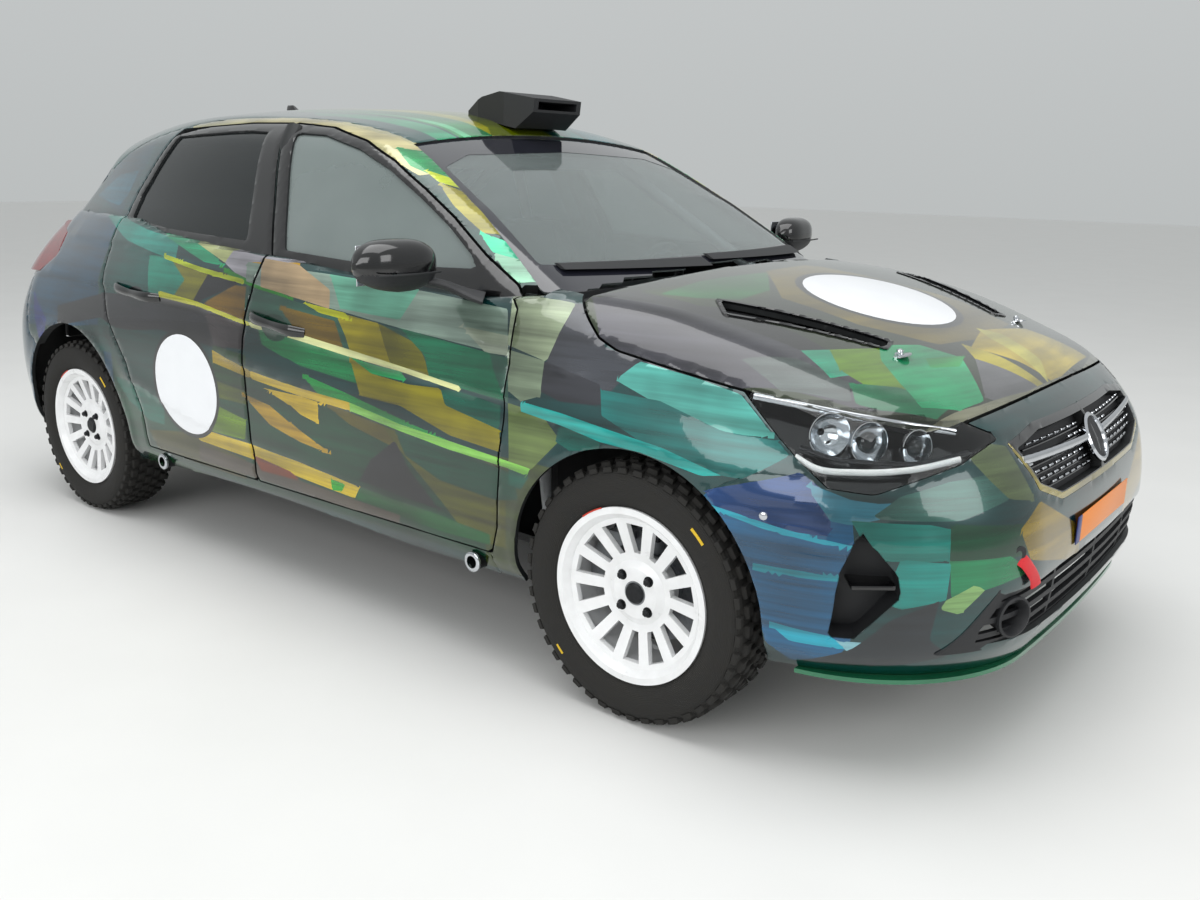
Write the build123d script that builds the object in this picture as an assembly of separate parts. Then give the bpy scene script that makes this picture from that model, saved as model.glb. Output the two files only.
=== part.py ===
"""Five-door rally hatchback, modelled panel by panel. Millimetres.

+X points to the nose, +Y to the car's left, +Z up. The origin is on the ground at mid-length.
Each body panel is a slice of two hollow forms, the lower body and the cabin, and each form is a
stack of plan outlines: a nose arc, two side arcs and a tail arc joined by tangent corner arcs.
"""

from build123d import *
import math
import os

# Running gear
WHEELBASE = 2538
FRONT_AXLE_X = 1210
REAR_AXLE_X = FRONT_AXLE_X - WHEELBASE
WHEEL_Y = 755
TYRE_R = 320
TYRE_WIDTH = 195
RIM_R = 207
FLANGE_R = 216
RIM_HALF = 86
SPOKES = 14
HUB_R = 30
KINGPIN_Y = 738
KINGPIN_HALF = 117
FRONT_ARCH_R = 352
FRONT_ARCH_X = 1215
FRONT_ARCH_Z = 327
REAR_ARCH_R = 364
REAR_ARCH_X = -1322
REAR_ARCH_Z = 345

# Walls and clearances
DOOR_WALL = 68
FRAME_WALL = 34
SKIN = 14
BONNET_WALL = 26
GLASS = 5
GLASS_INSET = 8
SEAT_GAP = 0.3
SHUT_GAP = 5
NOSE_GAP = 7
SILL_Z = 258
PANEL_FOOT_Z = 262
FLOOR_Z = 290
FLOOR_T = 22
FLOOR_HALF = 600
BOOT_FLOOR_Z = 620
BOOT_FLOOR_HALF = 560
SILL_TOP_Z = 327
LIP_T = 10
FENDER_REAR_X = 775
FIREWALL_X = 800
FIREWALL_T = 22
SCUTTLE_HALF = 640
RAIL_Y = 400
CANTRAIL_Y = 580
DOOR_RAIL_Y = 588

# Lower body, one row per height:
# z, nose x, nose radius, front corner radius, half width, side radius, rear corner radius, tail x, tail radius
SIDE_ARC_X = -250
LOWER_ROWS = [
    (235, 1975, 6500, 420, 800, 60000, 300, -1965, 4500),
    (300, 2010, 6500, 420, 846, 60000, 300, -2005, 4500),
    (420, 2028, 6000, 420, 868, 60000, 300, -2028, 4500),
    (600, 2012, 5500, 420, 882, 50000, 290, -2025, 4200),
    (800, 1937, 4500, 450, 879, 20000, 260, -1975, 4000),
    (930, 1862, 4000, 470, 857, 10000, 230, -1922, 4000),
    (1110, 1755, 4000, 480, 790, 5000, 180, -1830, 4000),
]
# Cabin, the same columns
CABIN_ROWS = [
    (900, 1128, 2000, 120, 842, 9000, 180, -1930, 3800),
    (1150, 668, 2700, 100, 752, 5500, 160, -1775, 3400),
    (1390, 214, 3800, 90, 632, 4600, 140, -1545, 3000),
    (1440, 119, 4000, 90, 590, 4500, 130, -1490, 3000),
    (1500, 5, 4200, 90, 480, 4400, 120, -1420, 3000),
]
# Bonnet and roof crowns: x, height on the centre line, height 700 mm out
CROWN_EDGE_Y = 700
CROWN_REACH = 1000
BONNET_ROWS = [
    (880, 1046, 1001),
    (1200, 1014, 971),
    (1600, 918, 862),
    (1870, 815, 738),
    (2060, 640, 560),
]
ROOF_ROWS = [
    (500, 1302, 1205),
    (210, 1402, 1320),
    (-500, 1476, 1400),
    (-1100, 1452, 1374),
    (-1620, 1350, 1275),
    (-2100, 1230, 1150),
]
# Belt line seen from the side: x, z
BELT_FRONT_X = 880
BELT = [(880, 985), (664, 968), (256, 992), (-80, 1020), (-300, 1028), (-780, 1056), (-1000, 1092), (-2100, 1100)]

# Shut lines and openings seen from the side: x, z
DOOR_FOOT_Z = 332
FRONT_DOOR = [
    (-207, 332), (-207, 780), (-152, 1020), (-285, 1404), (-226, 1400), (-94, 1390),
    (84, 1351), (230, 1297), (373, 1225), (501, 1154), (640, 1066), (760, 1000),
    (811, 951), (836, 840), (839, 692), (803, 405), (780, 332),
]
REAR_DOOR = [
    (-217, 332), (-217, 780), (-162, 1020), (-298, 1404), (-500, 1406), (-960, 1390),
    (-1100, 1180), (-1125, 1060), (-1070, 872), (-1026, 767), (-909, 616), (-849, 467), (-845, 332),
]
FRONT_WINDOW = [
    (-105, 1040), (-226, 1376), (-94, 1370), (84, 1330), (230, 1276), (373, 1203),
    (501, 1132), (600, 1066), (630, 1034), (239, 1024),
]
REAR_WINDOW = [(-296, 1056), (-376, 1380), (-500, 1384), (-940, 1368), (-1062, 1170), (-1070, 1092), (-786, 1070)]
BONNET_CUT = [
    (940, 1300), (940, 1010), (974, 984), (1018, 950), (1069, 911), (1127, 889), (1250, 870), (1445, 843),
    (1577, 820), (1700, 797), (1800, 774), (1829, 780), (1874, 803), (1890, 815), (1960, 1300),
]
BUMPER_CUT = [
    (1380, 200), (1380, 590), (1404, 607), (1465, 651), (1532, 681), (1640, 690),
    (1640, 900), (2200, 900), (2200, 200),
]
LAMP_CUT = [(1452, 842), (1583, 739), (1678, 668), (1761, 660), (1876, 714), (1905, 752), (1820, 800), (1577, 840)]
GRILLE_T = 12
LAMP_DEPTH = 110
LAMP_INNER_Y = 470
FOG_POCKET = [(1752, 591), (1722, 497), (1704, 352), (1752, 352), (1830, 452), (1822, 500)]
TAIL_LAMP = [(-1600, 1015), (-1540, 935), (-1640, 872), (-2100, 860), (-2100, 985), (-1760, 1050)]
TAIL_LAMP_DEPTH = 60
REAR_BUMPER_CUT = [(-1500, 200), (-1500, 560), (-1640, 640), (-1690, 850), (-2200, 850), (-2200, 200)]
# Openings seen from the front: y, z
UPPER_GRILLE = [(-452, 738), (-415, 640), (-300, 598), (300, 598), (415, 640), (452, 738), (300, 760), (-300, 760)]
LOWER_GRILLE = [(-640, 330), (-560, 440), (-300, 452), (300, 452), (560, 440), (640, 330), (300, 318), (-300, 318)]
# Glasshouse split
ROOF_HALF = 556
SCREEN_FOOT = (700, 990)
SCREEN_HEAD = (545, 1392)
HEADER_X = 208
ROOF_REAR_X = -1508
TAILGATE_GAP = 9
TAILGATE_HALF = 560
TAILGATE_FOOT_Z = 560
REAR_PANE = [(-500, 1075), (500, 1075), (455, 1325), (-455, 1325)]
SPOILER_REAR_X = -1655
SPOILER_Z = 1334
# Bonnet in plan
BONNET_REAR = [(975, -760), (1012, -400), (1030, 0), (1012, 400), (975, 760)]
VENT = [(1225, 520), (1590, 350), (1600, 400), (1290, 590)]

# Door mirror
MIRROR_AT = (600, 985, 1050)
MIRROR_DEPTH = 110
MIRROR_WIDTH = 230
MIRROR_HEIGHT = 140

# Jack tubes in the sills
JACK_X = (720, -760)
JACK_Z = 292
JACK_BORE_R = 18
JACK_TUBE_R = 24
JACK_MOUTH_Y = 858
JACK_DEPTH = 80

# Hinges
FRONT_HINGE = (762, 850)
REAR_HINGE = (-257, 868)
HINGE_Z = (430, 720)
HINGE_HEIGHT = 64
FRONT_POST_Y = 742
CENTRE_POST_Y = 766
BONNET_PIVOT = (925, 945)
BONNET_HINGE_Y = 655
TAILGATE_PIVOT = (-1486, 1360)
TAILGATE_HINGE_Y = 200
PIN_R = 6
EYE_R = 13
ARM_HALF = 10

# Wipers from the front: y at the pivot, y at the tip, height
WIPERS = [(-60, -600, 1022), (600, -20, 1022)]

# Cabin fittings
DRIVER_Y = 360
WHEEL_PLACE = Pos(385, DRIVER_Y, 880) * Rot(0, -67, 0)
COLUMN_R = 22
COLUMN_LENGTH = 190
SEAT_HALF = 235
CAGE_R = 20
ENGINE_REAR_X = 1290
EXHAUST_R = 28


def box(x0, x1, y0, y1, z0, z1):
    """Block between two corners."""
    return Pos((x0 + x1) / 2, (y0 + y1) / 2, (z0 + z1) / 2) * Box(abs(x1 - x0), abs(y1 - y0), abs(z1 - z0))


def prism_side(points, y0, y1):
    """Outline drawn in the side view, from y0 to y1."""
    face = Face(Wire.make_polygon([Vector(x, y0, z) for x, z in points], close=True))
    return Solid.extrude(face, Vector(0, y1 - y0, 0))


def prism_front(points, x0, x1):
    """Outline drawn in the front view as y, z, from x0 to x1."""
    face = Face(Wire.make_polygon([Vector(x0, y, z) for y, z in points], close=True))
    return Solid.extrude(face, Vector(x1 - x0, 0, 0))


def prism_plan(points, z0, z1):
    """Outline drawn in plan, from z0 to z1."""
    face = Face(Wire.make_polygon([Vector(x, y, z0) for x, y in points], close=True))
    return Solid.extrude(face, Vector(0, 0, z1 - z0))


def rod_y(x, z, r, y0, y1):
    """Round bar along Y."""
    low = min(y0, y1)
    return Solid.make_cylinder(r, abs(y1 - y0), Plane(origin=(x, low, z), z_dir=(0, 1, 0)))


def tube(a, b, r):
    """Round bar between two points."""
    start, end = Vector(*a), Vector(*b)
    return Solid.make_cylinder(r, (end - start).length, Plane(origin=start, z_dir=end - start))


def grown(points, gap):
    """Outline moved out by gap along every side, or in by a negative gap."""
    count = len(points)
    area = sum(points[i - 1][0] * points[i][1] - points[i][0] * points[i - 1][1] for i in range(count))
    turn = 1 if area > 0 else -1
    result = []
    for i in range(count):
        (ax, az), (bx, bz), (cx, cz) = points[i - 1], points[i], points[(i + 1) % count]
        u, v = math.hypot(bx - ax, bz - az), math.hypot(cx - bx, cz - bz)
        n1 = (turn * (bz - az) / u, -turn * (bx - ax) / u)
        n2 = (turn * (cz - bz) / v, -turn * (cx - bx) / v)
        k = gap / (1 + n1[0] * n2[0] + n1[1] * n2[1])
        result.append((bx + (n1[0] + n2[0]) * k, bz + (n1[1] + n2[1]) * k))
    return result


def mirrored(shape):
    """The same piece on the other side of the car."""
    return mirror(shape, Plane.XZ)


def both(shape):
    """A left piece and its mirror image."""
    return [shape, mirrored(shape)]


def on_circle(centre, radius, towards):
    """Point of a circle in the direction of another point."""
    dx, dy = towards[0] - centre[0], towards[1] - centre[1]
    scale = radius / math.hypot(dx, dy)
    return (centre[0] + dx * scale, centre[1] + dy * scale)


def corner_centre(c1, r1, c2, r2, r, forward):
    """Centre of the corner arc of radius r that touches two large circles from inside."""
    a, b = r1 - r, r2 - r
    dx, dy = c2[0] - c1[0], c2[1] - c1[1]
    d = math.hypot(dx, dy)
    t = (a * a - b * b + d * d) / (2 * d)
    h = math.sqrt(a * a - t * t)
    found = [(c1[0] + (t * dx - s * h * dy) / d, c1[1] + (t * dy + s * h * dx) / d) for s in (1, -1)]
    upper = [p for p in found if p[1] > 0]
    return max(upper) if forward else min(upper)


def outline(row, inset):
    """One plan outline of eight tangent arcs, inset by a wall."""
    z, nose_x, nose_r, front_r, half_y, side_r, rear_r, tail_x, tail_r = row
    nose_x, nose_r, half_y, side_r = nose_x - inset, nose_r - inset, half_y - inset, side_r - inset
    tail_x, tail_r = tail_x + inset, tail_r - inset
    front_r, rear_r = max(front_r - inset, 30), max(rear_r - inset, 30)
    nose, side, tail = (nose_x - nose_r, 0), (SIDE_ARC_X, half_y - side_r), (tail_x + tail_r, 0)
    front = corner_centre(nose, nose_r, side, side_r, front_r, True)
    rear = corner_centre(tail, tail_r, side, side_r, rear_r, False)
    a, b = on_circle(nose, nose_r, front), on_circle(side, side_r, front)
    c, d = on_circle(side, side_r, rear), on_circle(tail, tail_r, rear)
    front_mid = on_circle(front, front_r, ((a[0] + b[0]) / 2, (a[1] + b[1]) / 2))
    side_mid = on_circle(side, side_r, ((b[0] + c[0]) / 2, (b[1] + c[1]) / 2))
    rear_mid = on_circle(rear, rear_r, ((c[0] + d[0]) / 2, (c[1] + d[1]) / 2))
    left = [(a, front_mid, b), (b, side_mid, c), (c, rear_mid, d)]
    right = [tuple((x, -y) for x, y in reversed(arc)) for arc in reversed(left)]
    arcs = left + [(d, (tail_x, 0), (d[0], -d[1]))] + right + [((a[0], -a[1]), (nose_x, 0), a)]
    edges = [Edge.make_three_point_arc(*[Vector(x, y, z) for x, y in arc]) for arc in arcs]
    return Face(Wire(edges))


def stack(rows, inset):
    """Solid through a stack of plan outlines."""
    return loft([outline(row, inset) for row in rows]).solid()


def above(rows, drop):
    """Everything above a crowned surface, lowered by drop."""
    top = 1800
    sections = []
    for x, centre_z, edge_z in rows:
        side = centre_z - (centre_z - edge_z) * (CROWN_REACH / CROWN_EDGE_Y) ** 2 - drop
        right, left = Vector(x, -CROWN_REACH, side), Vector(x, CROWN_REACH, side)
        crown = Edge.make_three_point_arc(right, Vector(x, 0, centre_z - drop), left)
        rest = Wire.make_polygon([left, Vector(x, CROWN_REACH, top), Vector(x, -CROWN_REACH, top), right], close=False)
        sections.append(Face(Wire([crown] + list(rest.edges()))))
    return loft(sections).solid()


ABOVE_BELT = prism_side(BELT + [(-2100, 1800), (BELT_FRONT_X, 1800)], -1000, 1000)


def lower_form(inset, drop):
    """Lower body under the belt line and the bonnet, inset by a wall and lowered by a drop."""
    return (stack(LOWER_ROWS, inset) - above(BONNET_ROWS, drop) - ABOVE_BELT).solid()


def cabin_form(inset):
    """Cabin under the roof, inset by a wall."""
    return (stack(CABIN_ROWS, inset) - above(ROOF_ROWS, inset)).solid()


LOWER = lower_form(0, 0)
CABIN = cabin_form(0)
LOWER_WALL = LOWER - stack(LOWER_ROWS, DOOR_WALL)
LOWER_SKIN = LOWER - lower_form(SKIN, SKIN)
BONNET_SLAB = LOWER - lower_form(BONNET_WALL, BONNET_WALL)
TAIL_SLAB = LOWER - stack(LOWER_ROWS, FRAME_WALL)
CABIN_WALL = CABIN - cabin_form(FRAME_WALL)
PANE = cabin_form(GLASS_INSET) - cabin_form(GLASS_INSET + GLASS)


def screen_zone(gap):
    """Wedge that holds the windscreen, grown by gap."""
    (foot, foot_z), (head, head_z) = SCREEN_FOOT, SCREEN_HEAD
    lean = (foot - head) / (head_z - foot_z)
    top_z = 1500
    head = foot - (top_z - foot_z) * lean
    points = [(-foot, foot_z), (foot, foot_z), (head, top_z), (-head, top_z)]
    return prism_front(grown(points, gap), HEADER_X - gap, 1200)


def tailgate_zone(gap):
    """Block that holds the tailgate, grown by gap."""
    half = TAILGATE_HALF + gap
    return box(-2200, ROOF_REAR_X - TAILGATE_GAP + gap, -half, half, TAILGATE_FOOT_Z - gap, 1600)


def front_arch():
    """Left front wheel opening."""
    return rod_y(FRONT_ARCH_X, FRONT_ARCH_Z, FRONT_ARCH_R, 440, 1000)


def rear_arch():
    """Left rear wheel opening."""
    return rod_y(REAR_ARCH_X, REAR_ARCH_Z, REAR_ARCH_R, 440, 1000)


def hinge_pockets(axis, front_x):
    """Recesses in a left door's front edge for its two hinges."""
    x, y = axis
    return [box(x - 26, front_x, y - 150, y + 12, z, z + HINGE_HEIGHT) for z in HINGE_Z]


def hinge_leaves(axis, post_x, post_y):
    """Body-side hinge leaves: a pin in the door's recess and an arm back to the post."""
    x, y = axis
    leaves = []
    for z in HINGE_Z:
        pin = Solid.make_cylinder(9, HINGE_HEIGHT - 2 * SEAT_GAP, Plane(origin=(x, y, z + SEAT_GAP)))
        arm = prism_plan([(x - 7, y), (x + 7, y), (post_x + 22, post_y), (post_x - 8, post_y)], z + 14, z + HINGE_HEIGHT - 14)
        leaves.append(pin + arm)
    return leaves


def hinge_arm(pivot, points, y):
    """Moving half of a cross hinge: an eye round the pin and an arm to the panel."""
    x, z = pivot
    arm = prism_side(points, y - ARM_HALF, y + ARM_HALF) + rod_y(x, z, EYE_R, y - ARM_HALF, y + ARM_HALF)
    return arm - rod_y(x, z, PIN_R + SEAT_GAP, y - ARM_HALF - 1, y + ARM_HALF + 1)


def door(points, window, axis, front_x):
    """Left door: deep below the belt, with a slim frame round its window."""
    zone = prism_side(points, DOOR_RAIL_Y, 1000)
    shape = (LOWER_WALL & zone) + (CABIN_WALL & zone)
    return shape - ([prism_side(window, 300, 1000)] + hinge_pockets(axis, front_x))


def pane(window):
    """Left side glass, just inside its window."""
    return PANE & prism_side(grown(window, -SEAT_GAP), 300, 1000)


def side_frame():
    """Left side of the shell: sill, pillars, cantrail, quarter panel and door posts."""
    low = LOWER_WALL & box(-2000, FENDER_REAR_X, 300, 1000, SILL_Z, 1120)
    high = CABIN_WALL & box(-1900, 990, 300, 900, 940, 1500)
    high -= box(770, 1100, 0, 1000, 800, 1003)
    shape = low + high - [
        prism_side(grown(FRONT_DOOR, SHUT_GAP), CANTRAIL_Y, 1000),
        prism_side(grown(REAR_DOOR, SHUT_GAP), CANTRAIL_Y, 1000),
        screen_zone(0),
        box(-1900, HEADER_X, -ROOF_HALF, ROOF_HALF, 1250, 1600),
        tailgate_zone(SHUT_GAP),
        prism_side(REAR_BUMPER_CUT, -1000, 1000),
        prism_side(TAIL_LAMP, TAILGATE_HALF + SHUT_GAP, 1000),
        rear_arch(),
    ]
    shape += box(-905, 850, FLOOR_HALF, 790, PANEL_FOOT_Z, SILL_TOP_Z)
    front_post = [
        (SCUTTLE_HALF, PANEL_FOOT_Z), (FRONT_POST_Y, PANEL_FOOT_Z), (FRONT_POST_Y, 790), (690, 984), (SCUTTLE_HALF, 984),
    ]
    shape += prism_front(front_post, FENDER_REAR_X, 850)
    centre_post = [
        (CENTRE_POST_Y - 46, 300), (CENTRE_POST_Y, 300), (CENTRE_POST_Y, 860), (727, 1000),
        (578, 1392), (ROOF_HALF + 1, 1392), (690, 990), (CENTRE_POST_Y - 46, 860),
    ]
    shape += prism_front(centre_post, -290, -186)
    for x in JACK_X:
        shape += rod_y(x, JACK_Z, JACK_TUBE_R, 790, JACK_MOUTH_Y)
        shape -= rod_y(x, JACK_Z, JACK_BORE_R, JACK_MOUTH_Y - JACK_DEPTH, 900)
    for leaf in hinge_leaves(FRONT_HINGE, 805, FRONT_POST_Y - 1) + hinge_leaves(REAR_HINGE, -225, CENTRE_POST_Y - 1):
        shape += leaf
    return shape


def fender():
    """Left front wing."""
    shape = LOWER_SKIN & box(FENDER_REAR_X + SEAT_GAP, 1700, 420, 1000, PANEL_FOOT_Z, 1100)
    shape -= [
        prism_side(grown(FRONT_DOOR, SHUT_GAP), 300, 1000),
        prism_side(grown(BONNET_CUT, SHUT_GAP), 300, 1000),
        prism_side(BUMPER_CUT, -1000, 1000),
        prism_side(grown(LAMP_CUT, SEAT_GAP), 300, 1000),
        box(600, 985, 0, SCREEN_FOOT[0] + SEAT_GAP, 800, 1200),
        front_arch(),
    ]
    return shape


def bonnet():
    """Bonnet with its folded side edges and two cooling vents."""
    shape = BONNET_SLAB & prism_side(BONNET_CUT, -1000, 1000)
    shape -= prism_plan([(800, -1000)] + BONNET_REAR + [(800, 1000)], 700, 1300)
    for side in (1, -1):
        shape -= prism_plan([(x, side * y) for x, y in VENT], 700, 1200)
    x, z = BONNET_PIVOT
    arm = [(x - 6, z + 12), (x + 70, z + 30), (x + 135, z + 30), (x + 135, z + 15), (x + 70, z), (x + 6, z - 12)]
    for y in (BONNET_HINGE_Y, -BONNET_HINGE_Y):
        shape += hinge_arm(BONNET_PIVOT, arm, y)
    return shape


def bumper_front():
    """Front bumper with the nose panel, open at both grilles and the lamp pockets."""
    foot = LOWER_ROWS[0][0] + LIP_T + SEAT_GAP
    shape = LOWER_SKIN & box(1300, 2100, -1000, 1000, foot, 900) & prism_side(BUMPER_CUT, -1000, 1000)
    lamp_zone = prism_side(grown(LAMP_CUT, SEAT_GAP), LAMP_INNER_Y - SEAT_GAP, 1000)
    fog_zone = prism_side(FOG_POCKET, 600, 1000)
    mouths = [prism_front(UPPER_GRILLE, 1700, 2200), prism_front(LOWER_GRILLE, 1700, 2200)]
    nose = prism_side(grown(BONNET_CUT, NOSE_GAP), -1000, 1000)
    return shape - ([nose] + mouths + both(lamp_zone) + both(fog_zone) + both(front_arch()))


def grille(points, bars):
    """Recessed grille: level bars on the curved nose inside a frame behind the bumper's skin."""
    inset = SKIN + SEAT_GAP
    plate = stack(LOWER_ROWS, inset) - stack(LOWER_ROWS, inset + GRILLE_T)
    plate = (plate & prism_front(grown(points, SKIN), 1700, 2200)) - above(BONNET_ROWS, inset)
    low, high = min(z for y, z in points), max(z for y, z in points)
    pitch = (high - low) / bars
    inner = prism_front(grown(points, -10), 1700, 2200)
    slots = []
    for i in range(bars):
        z = low + pitch * (i + 0.5)
        for y0, y1 in ((-600, -306), (-294, -6), (6, 294), (306, 600)):
            slots += (box(1700, 2200, y0, y1, z - pitch * 0.3, z + pitch * 0.3) & inner).solids()
    return plate - slots


def splitter():
    """Lip under the front bumper."""
    foot = LOWER_ROWS[0]
    lip = Solid.extrude(outline(foot, -12), Vector(0, 0, LIP_T)) - Solid.extrude(outline(foot, 60), Vector(0, 0, LIP_T))
    return lip & box(1620, 2200, -1000, 1000, 200, 400)


def headlamp():
    """Left headlamp, a deep housing under a lens that follows the body."""
    shape = LOWER & prism_side(LAMP_CUT, LAMP_INNER_Y, 1000)
    return shape - [stack(LOWER_ROWS, LAMP_DEPTH), prism_side(grown(BONNET_CUT, NOSE_GAP), 0, 1000)]


def tail_lamp():
    """Left tail lamp on the quarter panel."""
    zone = prism_side(grown(TAIL_LAMP, -SEAT_GAP), TAILGATE_HALF + SHUT_GAP + SEAT_GAP, 1000)
    return (LOWER & zone) - stack(LOWER_ROWS, TAIL_LAMP_DEPTH)


def bumper_rear():
    """Rear bumper."""
    shape = LOWER_SKIN & prism_side(REAR_BUMPER_CUT, -1000, 1000) & box(-2200, -1400, -1000, 1000, PANEL_FOOT_Z, 900)
    lamp_zone = prism_side(grown(TAIL_LAMP, SEAT_GAP), 0, 1000)
    return shape - ([tailgate_zone(SHUT_GAP)] + both(rear_arch()) + both(lamp_zone))


def tailgate():
    """Tailgate with its window frame, roof spoiler and hinge arms."""
    zone = tailgate_zone(0)
    shape = (TAIL_SLAB & zone & box(-2200, -1600, -900, 900, 200, 1095)) + (CABIN_WALL & zone)
    shape -= prism_front(REAR_PANE, -2200, -1400)
    shape += box(SPOILER_REAR_X, -1560, -520, 520, SPOILER_Z, 1600) - above(ROOF_ROWS, 0)
    x, z = TAILGATE_PIVOT
    arm = [(x, z + 7), (x, z - 7), (x - 50, z - 14), (x - 50, z - 2), (x - 33, z + 2)]
    for y in (TAILGATE_HINGE_Y, -TAILGATE_HINGE_Y):
        shape += hinge_arm(TAILGATE_PIVOT, arm, y)
    return shape


def tailgate_glass():
    """Rear window inside the tailgate's frame."""
    return PANE & prism_front(grown(REAR_PANE, -SEAT_GAP), -2200, -1400)


def windscreen():
    """Windscreen between the pillars."""
    return PANE & screen_zone(-SEAT_GAP)


def roof_panel():
    """Roof skin between the cantrails, notched at the rear for the tailgate's hinge pins."""
    half = ROOF_HALF - SEAT_GAP
    shape = CABIN_WALL & box(ROOF_REAR_X, HEADER_X, -half, half, 1250, 1600)
    x, z = TAILGATE_PIVOT
    reach = ARM_HALF + SHUT_GAP
    for y in (TAILGATE_HINGE_Y, -TAILGATE_HINGE_Y):
        shape -= box(-1600, x + EYE_R + SHUT_GAP, y - reach, y + reach, 1200, 1600)
        shape += rod_y(x, z, PIN_R, y - reach - 2, y + reach + 2)
    return shape


def wheel(side, x):
    """Tyre and rim, turned round the wheel's own axis and set on its hub."""
    half = TYRE_WIDTH / 2
    bead = RIM_R + SEAT_GAP
    tyre_profile = [
        (bead, -77.6), (FLANGE_R + SEAT_GAP, -78.6), (FLANGE_R + 2, -RIM_HALF), (262, -half), (300, -half + 8),
        (TYRE_R, -half + 24), (TYRE_R, half - 24), (300, half - 8), (262, half), (FLANGE_R + 2, RIM_HALF),
        (FLANGE_R + SEAT_GAP, 78.6), (bead, 77.6),
    ]
    rim_profile = [
        (FLANGE_R, -RIM_HALF), (FLANGE_R, -79), (RIM_R, -78), (192, -50), (192, 40), (196, 62), (RIM_R, 78),
        (FLANGE_R, 79), (FLANGE_R, RIM_HALF), (200, RIM_HALF), (188, 72), (186, 68), (98, 50), (80, 46), (62, 56),
        (HUB_R, 56), (HUB_R, -22), (72, -22), (72, 26), (98, 34), (184, 53), (184, -50), (196, -RIM_HALF),
    ]
    turned = []
    for profile in (tyre_profile, rim_profile):
        face = Face(Wire.make_polygon([Vector(r, 0, v) for r, v in profile], close=True))
        turned.append(Solid.revolve(face, 360, Axis.Z))
    tyre, rim = turned
    window = prism_plan([(98, -9), (98, 9), (172, 24), (172, -24)], -100, 100)
    rim -= [Rot(0, 0, 360 / SPOKES * (i + 0.5)) * window for i in range(SPOKES)]
    place = Pos(x, side * WHEEL_Y, TYRE_R) * Rot(-90 * side, 0, 0)
    return place * tyre, place * rim


def knuckle():
    """Left front upright with its stub axle and brake caliper."""
    x, z = FRONT_AXLE_X, TYRE_R
    shape = box(x - 34, x + 34, KINGPIN_Y - 36, KINGPIN_Y - 10, z - KINGPIN_HALF, z + KINGPIN_HALF)
    shape += rod_y(x, z, HUB_R - SEAT_GAP, KINGPIN_Y - 20, WHEEL_Y + 56)
    for z0 in (z - KINGPIN_HALF, z + KINGPIN_HALF - 30):
        shape += Solid.make_cylinder(24, 30, Plane(origin=(x, KINGPIN_Y, z0)))
    ring = rod_y(x, z, 168, KINGPIN_Y - 32, KINGPIN_Y + 28) - rod_y(x, z, 118, KINGPIN_Y - 60, KINGPIN_Y + 60)
    caliper = ring & box(x - 175, x - 60, 600, 900, z - 20, z + 120)
    arm = box(x - 130, x - 20, KINGPIN_Y - 30, KINGPIN_Y - 12, z + 10, z + 50)
    return shape + caliper + arm


def front_suspension():
    """Cross-member, lower arms and struts that hold the two uprights."""
    x, z = FRONT_AXLE_X, TYRE_R
    low, high = z - KINGPIN_HALF - SEAT_GAP, z + KINGPIN_HALF + SEAT_GAP
    shape = box(1080, 1330, -400, 400, 190, 262)
    for side in (1, -1):
        arm = [(1110, 380), (1320, 380), (x + 26, KINGPIN_Y + 20), (x - 26, KINGPIN_Y + 20)]
        half = prism_plan(arm, low - 12, low)
        half += box(x - 25, x + 25, 520, KINGPIN_Y + 20, high, high + 20)
        half += tube((x, 545, high), (x, 530, 850), 27)
        half += box(1120, 1300, 400, 600, 842, 856)
        half += box(FIREWALL_X + FIREWALL_T + SEAT_GAP, 1600, RAIL_Y, RAIL_Y + 40, 640, 700)
        half += box(1180, 1240, RAIL_Y, RAIL_Y + 40, 200, 850)
        shape += half if side == 1 else mirrored(half)
    return shape


def rear_axle():
    """Twist beam with trailing arms, spring struts and stub axles."""
    x, z = REAR_AXLE_X, TYRE_R
    shape = tube((x + 90, -600, z), (x + 90, 600, z), 38)
    for side in (1, -1):
        half = box(x - 60, x + 405, 560, 630, z - 26, z + 34)
        half += rod_y(x, z, HUB_R - SEAT_GAP, 600, WHEEL_Y + 56)
        half += tube((x - 20, 590, z), (x - 20, 520, BOOT_FLOOR_Z), 30)
        half -= box(x - 100, x + 100, 400, 700, BOOT_FLOOR_Z - FLOOR_T - SEAT_GAP, BOOT_FLOOR_Z + 100)
        shape += half if side == 1 else mirrored(half)
    return shape


def tunnel(gap):
    """Outline of the floor's tunnel seen from the front, grown by gap."""
    z0 = FLOOR_Z - FLOOR_T
    return [(-150 - gap, z0), (-110 - gap, 420 + gap), (110 + gap, 420 + gap), (150 + gap, z0)]


def floor_pan():
    """Floor with its tunnel and the raised boot floor."""
    z0, z1 = FLOOR_Z - FLOOR_T, FLOOR_Z
    half = FLOOR_HALF - SEAT_GAP
    shape = box(-900, 852, -half, half, z0, z1) + box(-922, -900, -BOOT_FLOOR_HALF, BOOT_FLOOR_HALF, z0, BOOT_FLOOR_Z)
    shape += box(-1940, -900, -BOOT_FLOOR_HALF, BOOT_FLOOR_HALF, BOOT_FLOOR_Z - FLOOR_T, BOOT_FLOOR_Z)
    shape += prism_front(tunnel(0), -900, 852)
    return shape - prism_front(tunnel(-20), -930, 860)


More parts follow.
